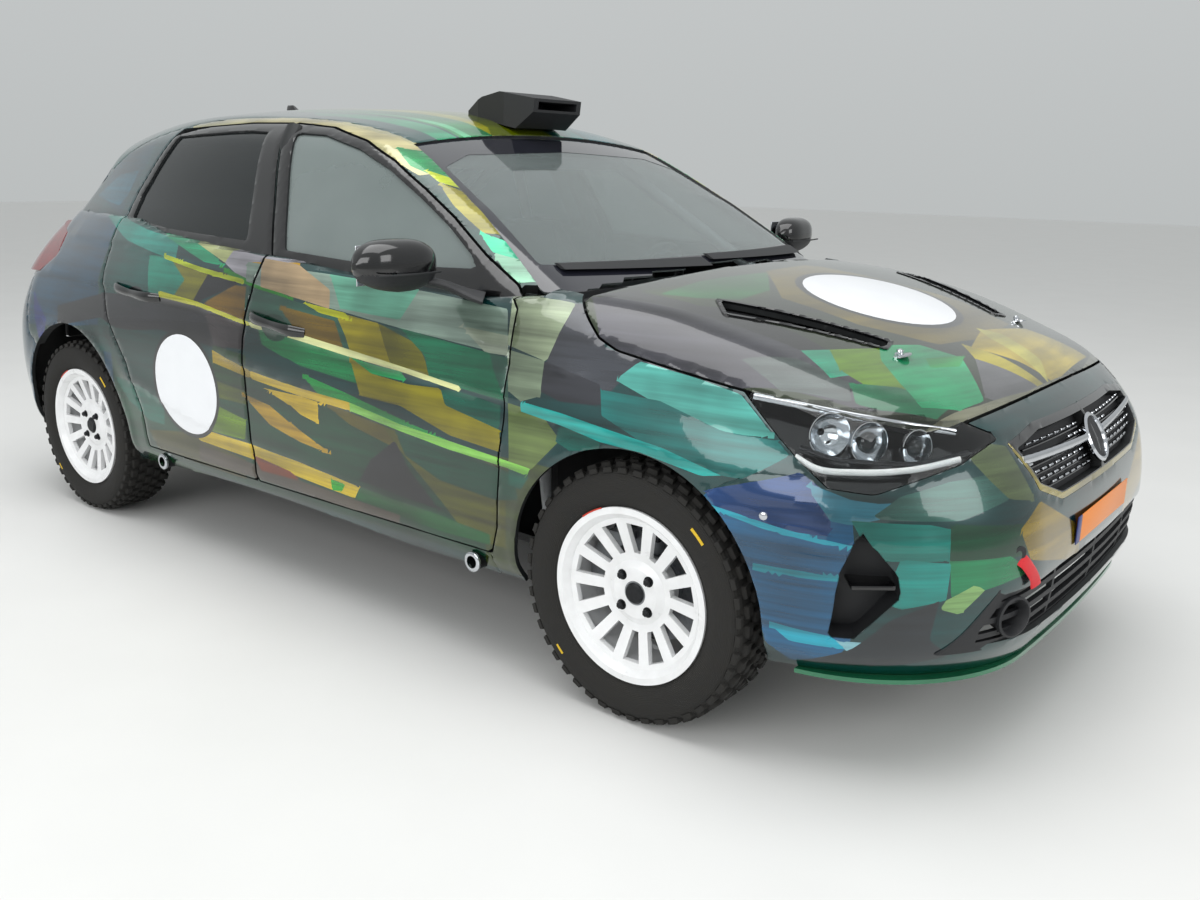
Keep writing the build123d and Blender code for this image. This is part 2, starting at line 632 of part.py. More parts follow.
def scuttle_panel():
    """Firewall and the tray under the windscreen, with the bonnet's hinge pins at its ends."""
    x0, half = FIREWALL_X, SCUTTLE_HALF - SEAT_GAP
    foot = FLOOR_HALF - SEAT_GAP
    side = [(foot, FLOOR_Z + SEAT_GAP), (foot, SILL_TOP_Z + SEAT_GAP), (half, SILL_TOP_Z + SEAT_GAP), (half, 950)]
    wall = prism_front(side + [(-y, z) for y, z in reversed(side)], x0, x0 + FIREWALL_T)
    wall -= prism_front(tunnel(SEAT_GAP), 700, 900)
    shape = wall + (box(x0, 1003, -half, half, 930, 986) - above(BONNET_ROWS, 44))
    x, z = BONNET_PIVOT
    tip = BONNET_HINGE_Y + ARM_HALF + 4
    shape += rod_y(x, z, PIN_R, half - 4, tip)
    shape += rod_y(x, z, PIN_R, 4 - half, -tip)
    return shape


def mirror_housing():
    """Left door mirror: a rounded head on a stalk from the door's front corner."""
    x, y, z = MIRROR_AT
    head = Pos(x, y, z) * Box(MIRROR_DEPTH, MIRROR_WIDTH, MIRROR_HEIGHT)
    head = fillet(head.edges(), MIRROR_DEPTH * 0.32)
    stalk = [(x + 60, 690), (x + 60, y - 40), (x, y - 40), (x, 690)]
    arm = prism_plan(stalk, z - 62, z - 30) - stack(LOWER_ROWS, -SEAT_GAP) - cabin_form(-SEAT_GAP)
    return head + arm


def roll_cage():
    """Main hoop, front legs, roof bars and rear stays, joined where they meet."""
    r, foot, waist, top, hoop_x, hoop_z, front_z = CAGE_R, 540, 610, 465, -362, 1360, 1296
    under = FLOOR_Z - 30
    runs = []
    for s in (1, -1):
        runs += [
            ((hoop_x, s * foot, under), (hoop_x, s * waist, 900)),
            ((hoop_x, s * waist, 900), (hoop_x, s * top, hoop_z)),
            ((hoop_x, s * top, hoop_z), (150, s * top, front_z)),
            ((150, s * top, front_z), (660, s * 575, 960)),
            ((660, s * 575, 960), (720, s * foot, under)),
            ((hoop_x, s * top, hoop_z), (-1290, s * 440, BOOT_FLOOR_Z - 30)),
        ]
    runs += [
        ((hoop_x, top, hoop_z), (hoop_x, -top, hoop_z)),
        ((150, top, front_z), (150, -top, front_z)),
        ((hoop_x, top, hoop_z), (hoop_x, -waist, 900)),
        ((hoop_x, waist, 900), (hoop_x, -waist, 900)),
    ]
    shape = None
    for a, b in runs:
        run = tube(a, b, r)
        for end in (a, b):
            if end[2] > 700:
                run += Pos(*end) * Sphere(r + 3)
        shape = run if shape is None else shape + run
    shape -= box(-500, 900, -700, 700, FLOOR_Z - 100, FLOOR_Z + SEAT_GAP)
    return shape - box(-1500, -1100, -700, 700, BOOT_FLOOR_Z - 100, BOOT_FLOOR_Z + SEAT_GAP)


def seat(y):
    """Bucket seat on its rails."""
    pan = [(-210, 460), (240, 490), (250, 530), (-150, 510), (-300, 1080), (-370, 1090), (-390, 1060)]
    pan = [(x + 60, z) for x, z in pan]
    wing = [(-150, 460), (300, 490), (290, 620), (0, 620), (-150, 960), (-240, 1080), (-310, 1090), (-330, 1060)]
    shape = prism_side(pan, y - SEAT_HALF, y + SEAT_HALF)
    for a, b in ((y - SEAT_HALF, y - SEAT_HALF + 36), (y + SEAT_HALF - 36, y + SEAT_HALF)):
        shape += prism_side(wing, a, b)
    for x in (-60, 200):
        shape += box(x - 20, x + 20, y - 190, y + 190, FLOOR_Z + SEAT_GAP, 500)
    return shape


def dashboard():
    """Dashboard between the front legs of the cage, bored for the steering column."""
    face = FIREWALL_X - SEAT_GAP
    points = [(face, 700), (face, 925), (640, 940), (520, 900), (500, 820), (560, 700)]
    shape = prism_side(points, -532, 532)
    return shape - WHEEL_PLACE * Pos(0, 0, -COLUMN_LENGTH) * Cylinder(COLUMN_R + SEAT_GAP, 2 * COLUMN_LENGTH)


def steering_wheel():
    """Steering wheel with three spokes on its column."""
    shape = Pos(0, 0, -30) * Cylinder(38, 40) + Pos(0, 0, -COLUMN_LENGTH / 2) * Cylinder(COLUMN_R, COLUMN_LENGTH)
    shape += [Rot(0, 0, angle) * box(10, 158, -9, 9, -14, -4) for angle in (90, 210, 330)]
    shape += Torus(160, 15)
    return WHEEL_PLACE * shape


def roof_scoop():
    """Roof air intake: an arched top with a mouth over the windscreen header."""
    side = [(-60, 1440), (-60, 1462), (40, 1502), (130, 1516), (268, 1493), (262, 1452), (190, 1400), (60, 1400)]
    shape = prism_side(side, -128, 128) & above(ROOF_ROWS, -SEAT_GAP)
    plan = [(-70, -70), (20, -110), (150, -128), (280, -112), (280, 112), (150, 128), (20, 110), (-70, 70)]
    shape &= prism_plan(plan, 1300, 1600)
    return shape - box(120, 300, -92, 92, 1460, 1484)


def engine_block():
    """Engine and gearbox as one block across the bay."""
    half = RAIL_Y - SEAT_GAP
    return box(ENGINE_REAR_X, ENGINE_REAR_X + 400, -half, half, 330, 800)


def exhaust():
    """Pipe from the engine along the tunnel and over the rear axle, silencer and tail pipe."""
    start = (ENGINE_REAR_X - SEAT_GAP, 0, 360)
    route = [start, (-1000, 0, 360), (-1160, -120, 404), (-1330, -230, 404), (-1520, -340, 290)]
    pipe = sweep(Plane(origin=start, z_dir=(-1, 0, 0)) * Circle(EXHAUST_R), path=FilletPolyline(*route, radius=70))
    return pipe + box(-1860, -1500, -480, -200, 215, 335) + tube((-2025, -380, 233), (-1850, -380, 233), 26)


def wipers():
    """Two wipers lying along the foot of the windscreen."""
    layer = cabin_form(-6) - cabin_form(GLASS_INSET - SEAT_GAP)
    arms = []
    for root_y, tip_y, low in WIPERS:
        strip = [(root_y, low), (tip_y, low + 14), (tip_y, low + 28), (root_y, low + 22)]
        arms.append(layer & prism_front(strip, 600, 1300))
    return arms


def export(name, shape):
    """Write one node."""
    os.makedirs("parts", exist_ok=True)
    if isinstance(shape, (list, tuple)):
        solids = []
        for piece in shape:
            solids += piece.solids()
        shape = Compound(children=solids)
    export_step(shape, f"parts/{name}.step")


def wheels(side, end, x):
    """Write one wheel."""
    tyre, rim = wheel(side, x)
    export(f"tyre_{end}", tyre)
    export(f"rim_{end}", rim)


LEFT_PIECES = {
    "side_frame": side_frame,
    "fender": fender,
    "door_front": lambda: door(FRONT_DOOR, FRONT_WINDOW, FRONT_HINGE, 900),
    "door_rear": lambda: door(REAR_DOOR, REAR_WINDOW, REAR_HINGE, -200),
    "door_glass_front": lambda: pane(FRONT_WINDOW),
    "door_glass_rear": lambda: pane(REAR_WINDOW),
    "mirror": mirror_housing,
    "knuckle": knuckle,
}
for name, make in LEFT_PIECES.items():
    left = make()
    export(f"{name}_left", left)
    export(f"{name}_right", mirrored(left))

PAIRS = {"headlamps": headlamp, "tail_lamps": tail_lamp}
for name, make in PAIRS.items():
    export(name, both(make()))

for side, word in ((1, "left"), (-1, "right")):
    wheels(side, f"front_{word}", FRONT_AXLE_X)
    wheels(side, f"rear_{word}", REAR_AXLE_X)

SINGLES = {
    "bonnet": bonnet,
    "bumper_front": bumper_front,
    "bumper_rear": bumper_rear,
    "grille_upper": lambda: grille(UPPER_GRILLE, 6),
    "grille_lower": lambda: grille(LOWER_GRILLE, 4),
    "splitter": splitter,
    "tailgate": tailgate,
    "tailgate_glass": tailgate_glass,
    "windscreen": windscreen,
    "roof_panel": roof_panel,
    "roof_scoop": roof_scoop,
    "wipers": wipers,
    "scuttle_panel": scuttle_panel,
    "floor_pan": floor_pan,
    "front_suspension": front_suspension,
    "rear_axle": rear_axle,
    "engine_block": engine_block,
    "exhaust": exhaust,
    "roll_cage": roll_cage,
    "seats": lambda: [seat(DRIVER_Y), seat(-DRIVER_Y)],
    "dashboard": dashboard,
    "steering_wheel": steering_wheel,
}
for name, make in SINGLES.items():
    export(name, make())
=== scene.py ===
"""Looks of the rally hatchback: painted skins, glass, lamps, wheels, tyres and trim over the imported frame."""

import math

import bmesh
import bpy
import numpy as np
from mathutils import Matrix, Vector


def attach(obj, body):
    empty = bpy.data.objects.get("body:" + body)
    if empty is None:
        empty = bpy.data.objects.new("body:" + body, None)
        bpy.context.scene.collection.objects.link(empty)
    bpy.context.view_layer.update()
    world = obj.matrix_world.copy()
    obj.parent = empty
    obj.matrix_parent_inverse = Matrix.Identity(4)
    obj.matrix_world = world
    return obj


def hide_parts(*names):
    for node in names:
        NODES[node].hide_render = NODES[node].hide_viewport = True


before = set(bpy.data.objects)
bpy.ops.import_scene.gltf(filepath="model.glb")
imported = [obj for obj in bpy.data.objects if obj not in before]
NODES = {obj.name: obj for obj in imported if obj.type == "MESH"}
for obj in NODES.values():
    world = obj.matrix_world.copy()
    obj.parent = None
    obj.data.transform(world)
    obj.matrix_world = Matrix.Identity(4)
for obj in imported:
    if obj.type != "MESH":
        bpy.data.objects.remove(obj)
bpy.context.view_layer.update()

MM = 0.001


# Colours and materials

def linear(hex_colour):
    """sRGB hex to a linear colour."""
    parts = [int(hex_colour[i:i + 2], 16) / 255 for i in (0, 2, 4)]
    return [p / 12.92 if p <= 0.04045 else ((p + 0.055) / 1.055) ** 2.4 for p in parts] + [1.0]


def add_node(tree, kind, settings=None, links=None):
    """One shader or geometry node with its settings, socket values and links."""
    made = tree.nodes.new(kind)
    for key, value in (settings or {}).items():
        if isinstance(key, int) or key in made.inputs.keys():
            made.inputs[key].default_value = value
        else:
            setattr(made, key, value)
    for key, source in (links or {}).items():
        tree.links.new(source, made.inputs[key])
    return made


def finish(name, colour, roughness, metallic=0.0, **sockets):
    """A material with its own surface shader; returns the material, its tree and its shader."""
    material = bpy.data.materials.new(name)
    material.use_nodes = True
    shader = material.node_tree.nodes["Principled BSDF"]
    shader.inputs["Base Color"].default_value = linear(colour)
    shader.inputs["Roughness"].default_value = roughness
    shader.inputs["Metallic"].default_value = metallic
    for key, value in sockets.items():
        shader.inputs[key.replace("_", " ")].default_value = value
    return material, material.node_tree, shader


def mottle(tree, shader, size_mm, base, other, low, high, bump=0.0):
    """Speckle a finish: noise of a real size mixes two colours, spreads the roughness and lifts it."""
    where = add_node(tree, "ShaderNodeTexCoord")
    noise = add_node(tree, "ShaderNodeTexNoise", {"Scale": 1000 / size_mm, "Detail": 5.0},
                     {"Vector": where.outputs["Object"]})
    mix = add_node(tree, "ShaderNodeMix", {"data_type": "RGBA"}, {"Factor": noise.outputs["Fac"]})
    mix.inputs["A"].default_value, mix.inputs["B"].default_value = linear(base), linear(other)
    tree.links.new(mix.outputs["Result"], shader.inputs["Base Color"])
    spread = add_node(tree, "ShaderNodeMapRange", {"To Min": low, "To Max": high},
                      {"Value": noise.outputs["Fac"]})
    tree.links.new(spread.outputs["Result"], shader.inputs["Roughness"])
    if bump:
        lift = add_node(tree, "ShaderNodeBump", {"Strength": bump, "Distance": 0.001},
                        {"Height": noise.outputs["Fac"]})
        tree.links.new(lift.outputs["Normal"], shader.inputs["Normal"])


def speckled(name, colour, roughness, metallic, speckle, **sockets):
    """A finish with its speckle: size in mm, two colours, roughness from and to, and bump if it has one."""
    material, tree, shader = finish(name, colour, roughness, metallic, **sockets)
    mottle(tree, shader, *speckle)
    return material


# Form of the body, in millimetres, from the same tables as the solids.
# Lower body: height, nose x, nose radius, front corner radius, half width, side radius, rear corner
# radius, tail x, tail radius
LOWER_ROWS = np.array([
    (235, 1975, 6500, 420, 800, 60000, 300, -1965, 4500),
    (300, 2010, 6500, 420, 846, 60000, 300, -2005, 4500),
    (420, 2028, 6000, 420, 868, 60000, 300, -2028, 4500),
    (600, 2012, 5500, 420, 882, 50000, 290, -2025, 4200),
    (800, 1937, 4500, 450, 879, 20000, 260, -1975, 4000),
    (930, 1862, 4000, 470, 857, 10000, 230, -1922, 4000),
    (1110, 1755, 4000, 480, 790, 5000, 180, -1830, 4000)], float)
CABIN_ROWS = np.array([
    (900, 1128, 2000, 120, 842, 9000, 180, -1930, 3800),
    (1150, 668, 2700, 100, 752, 5500, 160, -1775, 3400),
    (1390, 214, 3800, 90, 632, 4600, 140, -1545, 3000),
    (1440, 119, 4000, 90, 590, 4500, 130, -1490, 3000),
    (1500, 5, 4200, 90, 480, 4400, 120, -1420, 3000)], float)
# Crowns: x, height on the centre line, height at the edge
BONNET_ROWS = np.array([(880, 1046, 1001), (1200, 1014, 971), (1600, 918, 862), (1870, 815, 738),
                        (2060, 640, 560)], float)
ROOF_ROWS = np.array([
    (-2100, 1230, 1150), (-1620, 1350, 1275), (-1100, 1452, 1374), (-500, 1476, 1400), (210, 1402, 1320),
    (500, 1302, 1205)], float)
BELT = np.array([
    (-2100, 1100), (-1000, 1092), (-780, 1056), (-300, 1028), (-80, 1020), (256, 992), (664, 968),
    (880, 985)], float)
SIDE_ARC_X = -250.0
BONNET_FROM_X = 880
CREST_FROM_X = 900
CREST_R = 46.0
BELT_R = 9.0
ROOF_EDGE_R = 60.0
# Rounding where the front and the rear half of a plan outline meet
HALVES_R = 1.0
# Distance from the centre line at which the crown tables give their edge heights
CROWN_REACH = 700


def spline(xs, ys, at):
    """Smooth curve through a table, straight past its ends."""
    slopes = np.gradient(ys, xs)
    at = np.clip(at, xs[0], xs[-1])
    i = np.clip(np.searchsorted(xs, at) - 1, 0, len(xs) - 2)
    step = xs[i + 1] - xs[i]
    t = (at - xs[i]) / step
    a, b = ys[i], ys[i + 1]
    return (a * (2 * t ** 3 - 3 * t ** 2 + 1) + b * (3 * t ** 2 - 2 * t ** 3)
            + step * (slopes[i] * (t ** 3 - 2 * t ** 2 + t) + slopes[i + 1] * (t ** 3 - t ** 2)))


def round_max(a, b, r):
    """Larger of two fields, rounded over a radius."""
    return np.minimum(-r, np.maximum(a, b)) + np.hypot(np.maximum(r + a, 0), np.maximum(r + b, 0))


def plan_field(rows, p):
    """Distance outside the stacked plan outlines."""
    x, y, z = p[:, 0], np.abs(p[:, 1]), p[:, 2]
    nose_x, nose_r, front_r, half, side_r, rear_r, tail_x, tail_r = [
        spline(rows[:, 0], rows[:, k], z) for k in range(1, 9)]
    nose = np.hypot(x - (nose_x - nose_r), y) - nose_r
    side = np.hypot(x - SIDE_ARC_X, y - (half - side_r)) - side_r
    tail = np.hypot(x - (tail_x + tail_r), y) - tail_r
    return round_max(round_max(nose, side, front_r), round_max(tail, side, rear_r), HALVES_R)


def crown(rows, x, y):
    """Height of a crowned surface."""
    centre, edge = spline(rows[:, 0], rows[:, 1], x), spline(rows[:, 0], rows[:, 2], x)
    return centre - (centre - edge) * (y / CROWN_REACH) ** 2


def lower_field(p):
    """Outside distance of the lower body under its bonnet crown and belt line."""
    x, y, z = p[:, 0], p[:, 1], p[:, 2]
    belt = np.interp(x, BELT[:, 0], BELT[:, 1])
    top = np.where(x > BONNET_FROM_X, crown(BONNET_ROWS, x, y), belt)
    crest = np.where(x > CREST_FROM_X, CREST_R, BELT_R)
    return round_max(plan_field(LOWER_ROWS, p) - side_relief(p), z - top, crest)


def cabin_field(p):
    """Outside distance of the cabin under its roof."""
    return round_max(plan_field(CABIN_ROWS, p), p[:, 2] - crown(ROOF_ROWS, p[:, 0], p[:, 1]), ROOF_EDGE_R)


# Wheel arches: centre x, centre z, radius
FRONT_ARCH = (1215, 327, 352)
REAR_ARCH = (-1322, 345, 364)
FLARE, FLARE_WIDTH = 7, 26
# The flank's drawing goes round the front corner from this half width inwards
NOSE_UNROLL = 870
# Pressed lines of the flank and the bumper: points of a line, its height and its width; each fades out
# towards its ends, and all of them towards the middle of the car
LINE_FADE = 90
RELIEF_FROM, RELIEF_FADE = 450, 150
PRESSED_LINES = [
    ([(-1560, 1010), (-1000, 1006), (-700, 990), (-220, 942), (255, 897), (800, 850), (1120, 818)], 6.0, 22),
    ([(-1620, 880), (-950, 868), (-445, 858), (55, 815), (475, 777), (900, 742), (1260, 698), (1540, 655)],
     9.0, 34),
    ([(-380, 722), (45, 662), (470, 622), (960, 572)], 7.5, 28),
    ([(-1000, 585), (-700, 512), (-500, 470), (20, 437), (290, 410), (800, 380)], 5.0, 20),
    ([(-880, 372), (-380, 360), (455, 340), (900, 300)], 4.0, 12),
    ([(1500, 640), (1680, 632), (1810, 618), (2120, 610)], 4.0, 13),
    ([(1435, 598), (1575, 580), (1810, 556), (2100, 548)], 5.5, 13),
    ([(1500, 522), (1830, 494)], 5.5, 13),
    ([(1530, 447), (1830, 438)], 5.0, 13),
    ([(1590, 366), (1850, 330)], 5.0, 13),
]


def flank_uv(p):
    """Flank coordinates: along the car and round its front corner."""
    return p[:, 0] + np.where(p[:, 0] > 0, np.maximum(NOSE_UNROLL - np.abs(p[:, 1]), -30), 0), p[:, 2]


def side_relief(p):
    """How far the side stands out from its smooth form: pressed lines and wheel arch flares."""
    u, z = flank_uv(p)
    out = np.zeros(len(p))
    for line, height, width in PRESSED_LINES:
        us, zs = np.array(line, float).T
        off = z - np.interp(u, us, zs)
        fade = np.clip(np.minimum(u - us[0], us[-1] - u) / LINE_FADE, 0, 1)
        above, below = np.exp(-(off / (2.4 * width)) ** 2), np.exp(-(off / (0.3 * width)) ** 2)
        out += height * fade * np.where(off > 0, above, below)
    for cx, cz, r in (FRONT_ARCH, REAR_ARCH):
        lip = np.exp(-((np.hypot(p[:, 0] - cx, z - cz) - r) / FLARE_WIDTH) ** 2)
        out += FLARE * lip * (np.abs(p[:, 1]) > 650)
    return out * np.clip((np.abs(p[:, 1]) - RELIEF_FROM) / RELIEF_FADE, 0, 1)


def slopes_of(field, p):
    """Outward unit normals of a field."""
    grad = np.stack([field(p + d) - field(p - d) for d in np.eye(3)], 1) / 2
    return grad / np.maximum(np.linalg.norm(grad, axis=1), 1e-9)[:, None]


# Reach of the skin's rays at the ends and over the top, for their spacing, and their full length
END_REACH, TOP_REACH, RAY_LENGTH = 950, 900, 2600.0


def skin_grid(field, x0, x1, z0, low, step):
    """Left half of a form as a dense sheet: rays from a level spine out to the surface."""
    fan = int(math.pi / 2 * END_REACH / step)
    straight = int((x1 - x0) / step)
    spine = np.concatenate([np.full(fan, x0), np.linspace(x0, x1, straight), np.full(fan, x1)])
    turn = np.concatenate([np.linspace(math.pi, math.pi / 2, fan), np.full(straight, math.pi / 2),
                           np.linspace(math.pi / 2, 0, fan)])
    keep = np.concatenate([[True], (np.diff(spine) != 0) | (np.diff(turn) != 0)])
    spine, turn = spine[keep], turn[keep]
    rise = np.linspace(low, math.pi / 2, int((math.pi / 2 - low) * TOP_REACH / step))
    s, r = np.meshgrid(np.arange(len(spine)), rise, indexing="ij")
    s, r = s.ravel(), r.ravel()
    heading = np.stack([np.cos(r) * np.cos(turn[s]), np.cos(r) * np.sin(turn[s]), np.sin(r)], 1)
    start = np.stack([spine[s], np.zeros(len(s)), np.full(len(s), z0)], 1)
    near, far = np.zeros(len(s)), np.full(len(s), RAY_LENGTH)
    for _ in range(30):
        middle = (near + far) / 2
        inside = field(start + heading * middle[:, None]) < 0
        near, far = np.where(inside, middle, near), np.where(inside, far, middle)
    points = start + heading * near[:, None]
    points[:, 1] = np.where(np.abs(points[:, 1]) < 1e-3, 0, points[:, 1])
    n, m = len(spine), len(rise)
    a = (np.arange(n - 1)[:, None] * m + np.arange(m - 1)[None]).ravel()
    quads = np.stack([a, a + 1, a + m + 1, a + m], 1)
    tris = np.concatenate([quads[:, [0, 1, 2]], quads[:, [0, 2, 3]]])
    return points, tris


def trim(points, tris, values, keep_inside=True, gap=1e-6):
    """Cut a sheet along the zero line of a value per point. Returns the kept sheet, or both sides in one."""
    values = np.where(np.abs(values) < gap, gap, values)
    sign = values > 0
    count = sign[tris].sum(1)
    whole_in, whole_out = tris[count == 0], tris[count == 3]
    pieces_in, pieces_out = [whole_in], [whole_out]
    new_points = [points]
    total = len(points)
    mixed = tris[(count == 1) | (count == 2)]
    if len(mixed):
        lone_sign = count[(count == 1) | (count == 2)] == 1
        k = np.argmax(sign[mixed] == lone_sign[:, None], axis=1)
        rows = np.arange(len(mixed))
        a, b, c = mixed[rows, k], mixed[rows, (k + 1) % 3], mixed[rows, (k + 2) % 3]
        ends = np.concatenate([np.stack([a, b], 1), np.stack([a, c], 1)])
        ordered = np.sort(ends, 1)
        unique, back = np.unique(ordered, axis=0, return_inverse=True)
        back = back.ravel()
        v0, v1 = values[unique[:, 0]], values[unique[:, 1]]
        t = (v0 / (v0 - v1))[:, None]
        new_points.append(points[unique[:, 0]] * (1 - t) + points[unique[:, 1]] * t)
        ab, ac = total + back[:len(mixed)], total + back[len(mixed):]
        lone = np.stack([a, ab, ac], 1)
        pair = np.concatenate([np.stack([ab, b, c], 1), np.stack([ab, c, ac], 1)])
        twice = np.concatenate([lone_sign, lone_sign])
        pieces_out += [lone[lone_sign], pair[~twice]]
        pieces_in += [lone[~lone_sign], pair[twice]]
    points = np.concatenate(new_points)
    if keep_inside:
        return compact(points, np.concatenate(pieces_in))
    return points, np.concatenate(pieces_in + pieces_out)


def compact(points, tris):
    """Drop unused points."""
    used, back = np.unique(tris, return_inverse=True)
    return points[used], back.reshape(tris.shape)


def outline_field(outline, u, v):
    """Signed distance to a closed outline, negative inside."""
    pts = np.array(outline, float)
    best = np.full(len(u), 1e9)
    inside = np.zeros(len(u), bool)
    for (ax, ay), (bx, by) in zip(pts, np.roll(pts, -1, 0)):
        ex, ey = bx - ax, by - ay
        t = np.clip(((u - ax) * ex + (v - ay) * ey) / (ex * ex + ey * ey), 0, 1)
        best = np.minimum(best, np.hypot(u - ax - t * ex, v - ay - t * ey))
        crosses = ((ay > v) != (by > v)) & (u < ax + (v - ay) * ex / np.where(ey == 0, 1e-9, ey))
        inside ^= crosses
    return np.where(inside, -best, best)


def side_cut(outline, grow=0.0):
    """Field of a side-view outline grown by a gap."""
    return lambda p: outline_field(outline, p[:, 0], p[:, 2]) - grow


def front_cut(outline, grow=0.0):
    """Field of a front-view outline."""
    return lambda p: outline_field(outline, np.abs(p[:, 1]), p[:, 2]) - grow


def plan_cut(outline, grow=0.0):
    """Field of a plan outline."""
    return lambda p: outline_field(outline, p[:, 0], np.abs(p[:, 1])) - grow


def outside(cut):
    """Keep what lies outside a field."""
    return lambda p: -cut(p)


def limit(axis, value, keep_above):
    """Keep one side of a plane across an axis."""
    return (lambda p: value - p[:, axis]) if keep_above else (lambda p: p[:, axis] - value)


def arch_cut(arch):
    """Outside of a wheel arch."""
    return lambda p: arch[2] - np.hypot(p[:, 0] - arch[0], p[:, 2] - arch[1])


def panel_sheet(base, cuts):
    """Part of a base sheet inside every cut."""
    points, tris = base
    for cut in cuts:
        points, tris = trim(points, tris, cut(points))
        if not len(tris):
            raise ValueError("a cut removed the whole sheet")
    return points, tris


def boundary(tris):
    """Directed edges used by one triangle only."""
    edges = np.concatenate([tris[:, [0, 1]], tris[:, [1, 2]], tris[:, [2, 0]]])
    keys = np.sort(edges, 1)
    _, first, count = np.unique(keys, axis=0, return_index=True, return_counts=True)
    return edges[first[count == 1]]


def thicken(points, tris, normals, wall, edge_drop=1.6):
    """Closed panel: outer sheet with edges softened off the centre plane, inner sheet and rim."""
    rim = boundary(tris)
    outer = points.copy()
    edge = np.unique(rim)
    edge = edge[np.abs(points[edge, 1]) > 0.5]
    outer[edge] -= normals[edge] * edge_drop
    inner = points - normals * wall
    n = len(points)
    a, b = rim[:, 0], rim[:, 1]
    sides = np.concatenate([np.stack([b, a, a + n], 1), np.stack([b, a + n, b + n], 1)])
    return np.concatenate([outer, inner]), np.concatenate([tris, sides, tris[:, ::-1] + n]), len(tris)


def mirrored(points, tris):
    """The same sheet on the car's right."""
    return points * np.array([1, -1, 1]), tris[:, ::-1]


def joined(sheets):
    """Several sheets as one."""
    points, tris, total = [], [], 0
    for p, t in sheets:
        points.append(p)
        tris.append(t + total)
        total += len(p)
    return np.concatenate(points), np.concatenate(tris)


def mesh_piece(name, points, tris, materials, body, slot, replaces=(), smooth_angle=35, material_index=None,
               colours=None):
    """A mesh in metres that rides on a body."""
    mesh = bpy.data.meshes.new(name)
    mesh.vertices.add(len(points))
    mesh.vertices.foreach_set("co", (points * MM).astype(np.float32).ravel())
    mesh.loops.add(len(tris) * 3)
    mesh.loops.foreach_set("vertex_index", tris.astype(np.int32).ravel())
    mesh.polygons.add(len(tris))
    mesh.polygons.foreach_set("loop_start", np.arange(0, len(tris) * 3, 3, dtype=np.int32))
    for material in materials:
        mesh.materials.append(material)
    if material_index is not None:
        mesh.polygons.foreach_set("material_index", material_index.astype(np.int32))
    mesh.update(calc_edges=True)
    mesh.validate()
    mesh.polygons.foreach_set("use_smooth", np.ones(len(mesh.polygons), bool))
    mesh.set_sharp_from_angle(angle=math.radians(smooth_angle))
    if colours is not None:
        layer = mesh.color_attributes.new("wrap", "FLOAT_COLOR", "CORNER")
        layer.data.foreach_set("color", np.repeat(colours, 3, axis=0).astype(np.float32).ravel())
    piece = bpy.data.objects.new(name, mesh)
    bpy.context.scene.collection.objects.link(piece)
    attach(piece, body)
    if replaces:
        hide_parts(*replaces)
    return piece


# Shut lines and openings, as in the solids: x, z from the side; y, z from the front; x, y in plan
SHUT_GAP = 5
NOSE_GAP = 7
FRONT_DOOR = [
    (-207, 332), (-207, 780), (-152, 1020), (-285, 1404), (-226, 1400), (-94, 1390), (84, 1351), (230, 1297),
    (373, 1225), (501, 1154), (640, 1066), (760, 1000), (811, 951), (836, 840), (839, 692), (803, 405),
    (780, 332)]
REAR_DOOR = [
    (-217, 332), (-217, 780), (-162, 1020), (-298, 1404), (-500, 1406), (-960, 1390), (-1100, 1180),
    (-1125, 1060), (-1070, 872), (-1026, 767), (-909, 616), (-849, 467), (-845, 332)]
FRONT_WINDOW = [
    (-105, 1040), (-226, 1376), (-94, 1370), (84, 1330), (230, 1276), (373, 1203), (501, 1132), (600, 1066),
    (630, 1034), (239, 1024)]
REAR_WINDOW = [(-296, 1056), (-376, 1380), (-500, 1384), (-940, 1368), (-1062, 1170), (-1070, 1092),
               (-786, 1070)]
BONNET_CUT = [
    (940, 1300), (940, 1010), (974, 984), (1018, 950), (1069, 911), (1127, 889), (1250, 870), (1445, 843),
    (1577, 820), (1700, 797), (1800, 774), (1829, 780), (1874, 803), (1890, 815), (1960, 1300)]
BUMPER_CUT = [(1380, 200), (1380, 590), (1404, 607), (1465, 651), (1532, 681), (1640, 690), (1640, 900),
              (2200, 900), (2200, 200)]
LAMP_CUT = [(1452, 842), (1583, 739), (1678, 668), (1761, 660), (1876, 714), (1905, 752), (1820, 800),
            (1577, 840)]
FOG_POCKET = [(1752, 591), (1722, 497), (1704, 352), (1752, 352), (1830, 452), (1822, 500)]
TAIL_LAMP = [(-1600, 1015), (-1540, 935), (-1640, 872), (-2100, 860), (-2100, 985), (-1760, 1050)]
REAR_BUMPER_CUT = [(-1500, 200), (-1500, 560), (-1640, 640), (-1690, 850), (-2200, 850), (-2200, 200)]
UPPER_GRILLE = [(-10, 760), (300, 760), (452, 738), (415, 640), (300, 598), (-10, 598)]
LOWER_GRILLE = [(-10, 318), (300, 318), (640, 330), (560, 440), (300, 452), (-10, 452)]
REAR_PANE = [(-10, 1075), (500, 1075), (455, 1325), (-10, 1325)]
SCREEN = [(-10, 990), (700, 990), (503, 1500), (-10, 1500)]
BONNET_REAR = [(1030, -10), (1012, 400), (975, 760), (975, 1000), (2100, 1000), (2100, -10)]
VENT = [(1225, 520), (1590, 350), (1600, 400), (1290, 590)]


def zone(*fields):
    """Inside of several fields at once."""
    return lambda p: np.max([f(p) for f in fields], axis=0)


def block(x0, x1, half, z0, z1):
    """Inside of a block across the car."""
    return lambda p: np.max([x0 - p[:, 0], p[:, 0] - x1, np.abs(p[:, 1]) - half, z0 - p[:, 2],
                             p[:, 2] - z1], axis=0)


